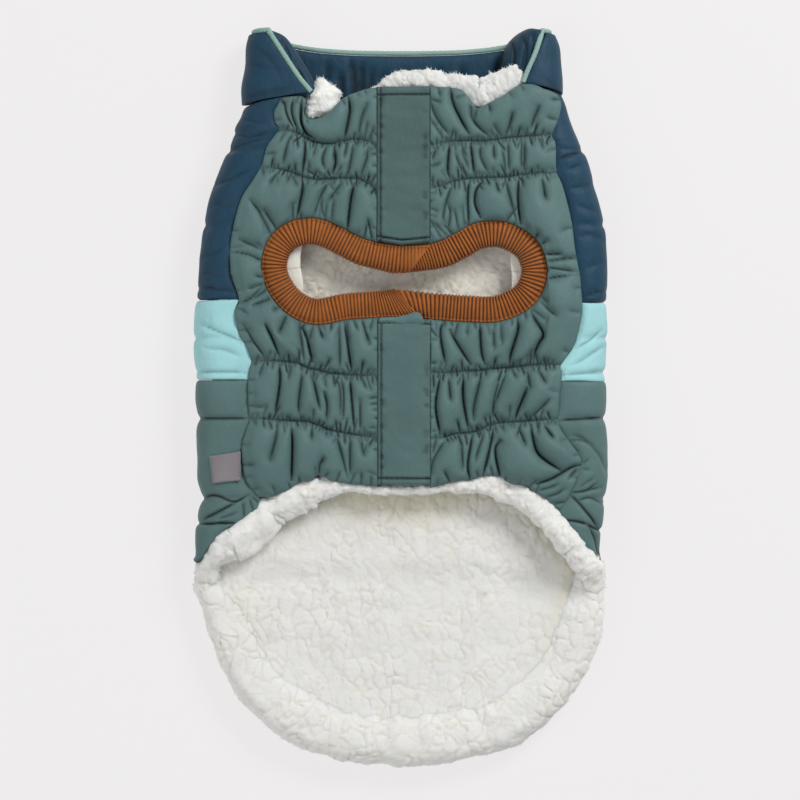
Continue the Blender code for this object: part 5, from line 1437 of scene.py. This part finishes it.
# How a band's two ends lap: how far each reaches past the centre, how much less on the leg's side,
# and how far its ribs lean there.
Lap = namedtuple("Lap", "lead cut lean")
LEFT_LAPS = (Lap(15.4, 11.4, 0.0), Lap(9.9, 13.8, 13.0))
RIGHT_LAPS = (Lap(1.0, 0.0, -9.0), Lap(5.0, 0.0, -8.0))
LAP_ROOM = 24.0
LAP_POINT_X, LAP_POINT = -4.0, 1.3      # where the bands' inner edges come to a point, and how far


def rib_band(word, side, laps, lift, depth):
    """Rib knit swept round half the opening, its slanting ends lapped over the other half's."""
    route = BAND_LEFT if side < 0 else BAND_RIGHT
    beyond = side * LAP_ROOM
    line = smooth_line(((route[0][0] - beyond, route[0][1] + 0.7), *route,
                        (route[-1][0] - beyond, route[-1][1] - 0.4)), 900)
    steps = distances(line)
    normals = side * line_normals(line)
    profile = along(np.array(BAND_PROFILE), spread((len(BAND_PROFILE) - 1, 2)))
    start = LAP_ROOM - laps[0].lead
    finish = steps[-1] - LAP_ROOM + laps[1].lead
    count = int((finish - start) / RIB_PITCH * RIB_STEPS)
    places = np.linspace(start, finish, count)
    near = [clamp(1 - away / LAP_REACH) ** 1.5 for away in (places - start, finish - places)]
    strength = 1 - 0.6 * np.maximum(*near) ** 4
    sections = np.zeros((count, len(profile), 3))
    crease = np.zeros((count, len(profile)))
    for k, (share, z, ribbed) in enumerate(profile):
        inward = share + 0.5
        place = places + inward * (laps[0].cut * near[0] - laps[1].cut * near[1])
        rib = place + inward * (laps[0].lean * near[0] + laps[1].lean * near[1])
        rib = rib + 0.16 * np.sin(rib / 5.3) + 0.12 * np.sin(rib / 2.9)
        wave = np.abs(np.cos(math.pi * rib / RIB_PITCH)) ** 0.7
        at, out = points_at(line, steps, place), points_at(normals, steps, place)
        rise = RIB_HEIGHT * depth * ribbed * (wave - 0.6) * strength
        point = np.exp(-np.abs(at[:, 0] - LAP_POINT_X) / 6) * max(share, 0) * 2
        offset = share * BAND_WIDTH + (rise if share > 0.3 else 0) + LAP_POINT * point
        sections[:, k, :2] = at - unit(out) * np.reshape(offset, (-1, 1))
        sections[:, k, 2] = z + rise * (1 if share < 0.42 else 0.4) + lift * np.maximum(*near)
        # Painted shade in the grooves between the ribs; depth scales it with the ribs' height.
        crease[:, k] = clamp(depth * (1 - wave) ** 1.2 * ribbed * strength)
    tube_piece("rib_band_" + word, sections, RUST, node="rib_" + word, slot="rust_rib_knit", crease=crease)
    add_stitches(sections[::4, 10] + (0, 0, 0.3), "rust", BAND_STITCH)


# ---------------------------------------------------------------- small parts and sewing

def placket(part):
    """A flat double strip over the closure, boxed in by a row of stitches."""
    strip = STRIPS[part]
    left, right = strip.left - GAP, strip.right + GAP
    xs = np.linspace(left, right, 46)
    top, end = read_table(strip.top, xs), read_table(strip.end, xs)
    y = top + (end - top) * np.linspace(0, 1, 130)[:, None]
    x = np.zeros_like(y) + xs
    grid = np.stack((x, y, np.full_like(x, STRIP_TOP)), axis=-1)
    from_side = np.minimum(x - left, right - x)
    from_end = np.minimum(top - y, y - end)
    past_seam = x - left - SIDE_SEAM
    rounded_in, rounded_down = STRIP_EDGE
    grid[..., 2] -= rounded_down * (1 - rounded_off(clamp(np.minimum(from_side, from_end) / rounded_in)))
    sewn = bell(past_seam, 0.45)
    sewn += bell(top - y - strip.stitch_rows[0], 0.5) + bell(y - end - strip.stitch_rows[1], 0.5)
    sewn = np.minimum(sewn, 1)
    grid[..., 2] -= sewn + 0.5 * clamp(past_seam / 0.8)
    waves = 0.9 * bumps(grid, 15.0, strip.seed) + 0.35 * bumps(grid / (2.0, 1, 1), 4.6, strip.seed + 1)
    grid[..., 2] += clamp((from_side - 2) / 3) * waves
    nicks = np.maximum(0, bumps(grid / (2.6, 1.0, 1.0), 2.8, strip.seed + 2)) * bell(from_side - 2.6, 1.8)
    grid[..., 2] -= 0.9 * nicks
    # Painted shade: the strip's own amount all over, more along its sunk stitches and nicks.
    crease = clamp(strip.shade + sewn * 0.8 + 0.6 * nicks)
    wall_piece(part + "_placket_cloth", grid, flattened(grid, STRIP_FLOOR), 6, GREEN,
               node=part + "_placket", slot="green_nylon", crease=crease)
    seam_x, height = left + SIDE_SEAM, STRIP_TOP - SEAM_SINK
    high, low = top.mean() - strip.stitch_rows[0], end.mean() + strip.stitch_rows[1]
    for start, finish in (((seam_x, top[0] - 2), (seam_x, end[0] + 2)),
                          ((left + 2.4, high), (right - 2.4, high)),
                          ((left + 2.4, low), (right - 2.4, low))):
        add_stitches(np.array(((*start, height), (*finish, height))), "green", STRIP_STITCH)


TAB_TOP = ((-11.6, 43.3), (-2.0, 43.6), (3.0, 44.8), (7.6, 46.4), (10.4, 45.8), (12.7, 41.4))
TAB_END = ((-11.6, 40.4), (8.0, 39.2), (12.7, 39.6))
TAB_HEIGHT = 31.6
TAB_WALL = 2.4


def placket_tab():
    """The folded end of the strip's cloth, just below the knitted band."""
    xs = np.linspace(TAB_TOP[0][0], TAB_TOP[-1][0], 60)
    top, end = read_table(TAB_TOP, xs), read_table(TAB_END, xs)
    share = np.linspace(0, 1, 22)[:, None]
    grid = np.stack((0 * share + xs, top + (end - top) * share,
                     TAB_HEIGHT + 0.9 * np.sin(math.pi * share) + 0 * xs), axis=-1)
    grid[..., 2] += 0.35 * bumps(grid, 3.6, 71)
    wall_piece("belly_placket_tab", grid, grid - (0, 0, TAB_WALL), 3, GREEN, slot="green_nylon")


STITCHES = defaultdict(list)


def add_stitches(run, thread, stitch):
    """Stitches along a line in space, kept until they are joined into one piece a thread."""
    line = even_points(run, max(2, int(line_length(run) / 0.3)))
    steps = distances(line)
    half = stitch.length / 2
    for centre in np.arange(stitch.pitch / 2, steps[-1] - stitch.pitch / 2, stitch.pitch):
        spots = points_at(line, steps, centre + np.linspace(-half, half, len(STITCH_BOW)))
        spots[:, 2] += STITCH_BOW
        STITCHES[thread].append(sweep(spots, stitch.radius * np.array(STITCH_TAPER), 6))


def surface_height(grid, spots):
    """Height of a grid's surface at places in plan, from its nearest points."""
    flat = grid.reshape(-1, 3)
    return np.array([flat[((flat[:, :2] - spot) ** 2).sum(axis=1).argmin(), 2] for spot in spots])


def hook_tape(part):
    """Hook tape: a flat strip with rows of tiny hooks on it."""
    node = part + "_tape"
    low, high = (np.array(corner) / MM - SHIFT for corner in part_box(node))
    x, y = np.meshgrid(np.linspace(low[0], high[0], 86), np.linspace(high[1], low[1], 41))
    hooks = (np.sin(x * 4.4) * np.sin(y * 4.4)) > 0.35
    grid = np.stack((x, y, high[2] - 0.25 + 0.35 * hooks), axis=-1)
    wall_piece(part + "_hook_tape", grid, flattened(grid, low[2]), 5, TAPE, node=node, slot="white_tape")


def hem_corner(side, row):
    outer, inner = shell_wrap(side, row)
    return (inner[-1][0], outer[-1][1], outer[-1][2])


def hem_line(count):
    """Along the front hem, from the flap on the left up over the panels and down on the right."""
    left = [hem_corner(-1, row) for row in range(HEM_ROLL_LAST_ROW, LEFT_HEM_ROW, -1)]
    right = [hem_corner(1, row) for row in range(RIGHT_HEM_ROW + 1, HEM_ROLL_LAST_ROW + 1)]
    centre = [(x, BELLY_TAPE_END - GAP) for x in HEM_ROLL_CENTRE]
    middle = [(x, y, FRONT_SEAM) for x, y in (*HEM_LEFT, *centre, *HEM_RIGHT)]
    return smooth_line([*HEM_ROLL_LEFT_END, *left, *middle, *right, *HEM_ROLL_RIGHT_END], count)


def from_ends(count):
    """How many points each of a row's points lies from the nearer end."""
    return np.minimum(np.arange(count), np.arange(count)[::-1])


def roll_piece(name, line, widths, heights, node, lift, wisps, material, lean=0.0):
    """A fleece roll along a line, with curls all round it."""
    normals = line_normals(line)
    turns = np.linspace(0, 2 * math.pi, 46, endpoint=False)
    sections = np.zeros((len(line), len(turns), 3))
    for k, turn in enumerate(turns):
        away = widths * math.cos(turn) - lean * (1 - math.sin(turn)) * (1 - math.cos(turn)) / 4
        sections[:, k, :2] = line[:, :2] + normals * away[:, None]
        sections[:, k, 2] = line[:, 2] + heights * math.sin(turn)
    around = tube_normals(sections)
    sections, pile_shade = fluff(sections + 0.95 * around * bumps(sections, 9.0, 11)[..., None], around, lift)
    showing = np.abs(around[..., 2]) < 0.3
    add_wisps(sections[showing], around[showing], wisps, 2.0, 61)
    # Painted shade in the pile's cracks.
    tube_piece(name, sections, material, node=node, slot="sherpa_fleece", crease=pile_shade)


def hem_roll():
    """The front hem's roll, deeper on its left, where it lies down on the flap."""
    line = hem_line(HEM_RINGS)
    x, reach = line[:, 0], np.abs(line[:, 0])
    ends = np.clip(from_ends(HEM_RINGS) / 26, 0.2, 1)
    widths = np.interp(reach, (24, 52, 84, 95, 106), (2.6, 7.0, 7.8, 7.4, 5.8))
    widths *= 1 + 0.16 * bumps(line, 21.0, 51)
    deepen = np.interp(x, (-106, -98, -60, -30), (0, 1.8, 1.8, 0))
    heights = HEM_ROLL_HEIGHT * np.interp(reach, (24, 55), (0.6, 1.1)) + deepen
    inset = (widths - 2.4) * np.interp(line[:, 1], (-100, -84), (0.15, 1.0))
    inset += read_table(HEM_ROLL_INSETS, x)
    line[:, :2] -= line_normals(line) * inset[:, None]
    line[:, 2] -= HEM_ROLL_DROP + deepen
    roll_piece("sherpa_hem", line, widths * ends, heights * ends, "hem_rim", 2.2, 900, SHERPA, 4 * deepen)


def neck_roll():
    line = smooth_line(NECK_ROLL, NECK_RINGS)
    radius = line[:, 2] * np.clip(from_ends(NECK_RINGS) / 10, 0.4, 1)
    line[:, 2] = NECK_ROLL_CENTRE
    roll_piece("sherpa_neck", line, radius, np.minimum(radius, NECK_ROLL_MOST), "neck_rim", 2.6, 500,
               SHERPA_NECK_SHADED)


def tuft():
    """The fleece that stands out of the notch at the neck's left."""
    rise = np.linspace(-math.pi / 2 + 0.08, math.pi / 2 - 0.08, 70)[:, None, None]
    turns = np.linspace(0, 2 * math.pi, 110, endpoint=False)
    reach = read_table(TUFT_REACH, np.degrees(turns))[:, None]
    flat_way = np.cos(rise) ** 0.8 * np.stack((np.cos(turns), np.sin(turns), 0 * turns), axis=1)
    up_way = np.array((0, 0, 1.0)) * np.sin(rise)
    points = np.array(TUFT_CENTRE) + flat_way * reach + TUFT_DEPTH * up_way
    ways = unit(flat_way + up_way)
    points = points + ways * bumps(points, 6.0, 41)[..., None]
    points, pile_shade = fluff(points, ways, 1.9)
    showing = np.abs(ways[..., 2]) < 0.5
    add_wisps(points[showing], ways[showing], 300, 2.2, 62)
    # Painted shade in the pile's cracks.
    tube_piece("sherpa_tuft", points, SHERPA, node="neck_rim", slot="sherpa_fleece", crease=pile_shade)


def tail_roll():
    """The flap's rolled rim, with small gathers along its tip."""
    angles = np.linspace(RIM_START, RIM_END, 440)
    looped = np.array((*RIM_PROFILE, RIM_PROFILE[0]))
    profile = along(looped, spread(*((1, steps) for steps in RIM_PROFILE_STEPS)))[:-1]
    sections = np.zeros((len(angles), len(profile), 3))
    taper = clamp(1 - np.minimum(angles - RIM_START, RIM_END - angles) / RIM_TAPER) ** 2
    for k, (inset, z) in enumerate(profile):
        inner = max(inset - RIM_END_INSET, 0)
        sections[:, k, 0], sections[:, k, 1] = tail_outline(angles, inset - taper * 0.3 * inner)
        sections[:, k, 2] = z - taper * (z - RIM_END_FLOOR) * min(inner / 8, 1)
    steps = distances(sections[:, 0])
    around = tube_normals(sections)
    off_floor = clamp(sections[..., 2] / 2.0)[..., None]
    gather = 0.7 * bell(angles - 90, 26) * np.sin(steps / 3.1 + 1.6 * np.sin(steps / 17))
    swell = 1.1 * bumps(sections, 19.0, 12) + gather[:, None] + RIM_SWELL
    sections = sections + around * swell[..., None] * off_floor
    raised, pile_shade = pile(sections, around, 2.3, 1.15)
    sections += (raised - sections) * off_floor
    sections[..., 2] = np.maximum(sections[..., 2], 0)
    showing = (np.abs(around[..., 2]) < 0.35) & (sections[..., 2] > 3)
    add_wisps(sections[showing], around[showing], 1500, 1.6, 63)
    # Painted shade in the pile's cracks.
    tube_piece("sherpa_tail_rim", sections, SHERPA, node="tail_rim", slot="sherpa_fleece", crease=pile_shade)


def wrap_top(x):
    """Height of the left side's top at a place in from its edge."""
    reach = x - SECTIONS[LABEL_ROW].left_fold
    rise = np.sqrt(np.maximum(FOLD_RADIUS ** 2 - np.maximum(FOLD_RADIUS - reach, 0) ** 2, 0))
    return FOLD_RADIUS + rise


def label():
    """A folded woven label, blank."""
    top_left, top_right, low_right, low_left = (np.array(corner) for corner in LABEL_CORNERS)
    down = np.linspace(0, 1, 40)[:, None, None]
    across = np.linspace(0, 1, 40)[None, :, None]
    plan = (top_left * (1 - down) + low_left * down) * (1 - across)
    plan = plan + (top_right * (1 - down) + low_right * down) * across
    height = wrap_top(plan[..., 0]) + LABEL_LIFT
    edge = np.minimum(np.minimum(down, 1 - down), np.minimum(across, 1 - across))[..., 0] * 17
    top = height + LABEL_WALL - 0.5 * clamp(1 - edge / 0.8) ** 2
    outer = raised(plan, top)
    outer[..., 2] += 0.12 * bumps(outer, 6.0, 4)
    wall_piece("blank_label", outer, raised(plan, height), 3, GREY, node="label", slot="grey_label")
    for column in (2, -3):
        add_stitches(outer[2:-2, column] + (0, 0, 0.12), "grey", LABEL_STITCH)


# ---------------------------------------------------------------- assembly

def build_coat():
    shell_piece("navy", NECK_ROW, AQUA_TOP, NAVY)
    shell_piece("aqua", AQUA_TOP, AQUA_BASE, AQUA)
    shell_piece("green", AQUA_BASE, LAST_ROW, GREEN, tail=True)
    lining_body()
    lining_tail()
    for word in ("left", "right"):
        front_side(word)
    for part in ("chest", "belly"):
        for word in ("left", "right"):
            front_lining(part, word)

    for shape in (placket, hook_tape):
        for part in ("chest", "belly"):
            shape(part)
    rib_band("right", 1, RIGHT_LAPS, -1.8, 1.35)
    rib_band("left", -1, LEFT_LAPS, 0.9, 1.1)
    placket_tab()
    collar()
    neck_roll()
    tuft()
    hem_roll()
    tail_roll()
    label()
    for word, stitches in STITCHES.items():
        colour, roughness, slot = THREADS[word]
        thread = plain_weave(word + "_thread", colour, roughness, 900, 0.05)
        join_tubes("stitches_" + word, stitches, thread, slot)
    join_tubes("sherpa_wisps", WISPS, SHERPA, "sherpa_fleece")


# What each piece is cut to before it is sewn: width, length, area where it isn't a rectangle.
Cut = namedtuple("Cut", "width length area held")


FLOOR_HALF = 4.0
FLOOR_DROP = 0.0004
FLOOR_SETTINGS = {"Base Color": (0.10, 0.10, 0.10, 1), "Roughness": 0.9, "Specular IOR Level": 0.0,
                  "Emission Color": (0.750, 0.735, 0.735, 1), "Emission Strength": 1.0}
SKY_COLOUR, SKY_STRENGTH = (0.97, 0.985, 1.0, 1), 0.43
# The lamps: place and size in metres, and power.
LAMPS = {"key": ((0.85, 1.0, 1.1), 0.6, 25.0), "fill": ((-1.1, -0.55, 1.2), 1.6, 12.5)}
VIEW_CENTRE = (-0.29, -1.85, 16.0)
VIEW_WIDTH = 440.0
LENS, SENSOR = 250.0, 36.0


def build_stage():
    mesh = bpy.data.meshes.new("floor")
    corners = [(x * FLOOR_HALF, y * FLOOR_HALF, 0) for x, y in ((-1, -1), (1, -1), (1, 1), (-1, 1))]
    mesh.from_pydata(corners, [], [(0, 1, 2, 3)])
    mat = bpy.data.materials.new("pale_floor")
    mat.use_nodes = True
    for socket, value in FLOOR_SETTINGS.items():
        mat.node_tree.nodes["Principled BSDF"].inputs[socket].default_value = value
    mesh.materials.append(mat)
    floor = place_in_scene("floor", mesh, (0, 0, -FLOOR_DROP))

    world = bpy.data.worlds.new("studio")
    bpy.context.scene.world = world
    world.use_nodes = True
    sky = world.node_tree.nodes["Background"]
    sky.inputs["Color"].default_value = SKY_COLOUR
    sky.inputs["Strength"].default_value = SKY_STRENGTH

    for name, (place, size, power) in LAMPS.items():
        lamp = bpy.data.lights.new(name, "AREA")
        lamp.shape = "SQUARE"
        lamp.size = size
        lamp.energy = power
        aim = -Vector(place)
        place_in_scene(name, lamp, place).rotation_euler = aim.to_track_quat("-Z", "Y").to_euler()


def build_camera():
    """A long lens straight above the coat, as in the photo."""
    data = bpy.data.cameras.new("camera")
    data.lens = LENS
    data.sensor_width = SENSOR
    data.clip_start = 0.1
    data.clip_end = 20.0
    above = Vector((0, 0, VIEW_WIDTH * LENS / SENSOR))
    bpy.context.scene.camera = place_in_scene("camera", data, (Vector(VIEW_CENTRE) + above) * MM)


build_camera()
build_coat()
build_stage()
bpy.context.scene.view_settings.view_transform = "Standard"
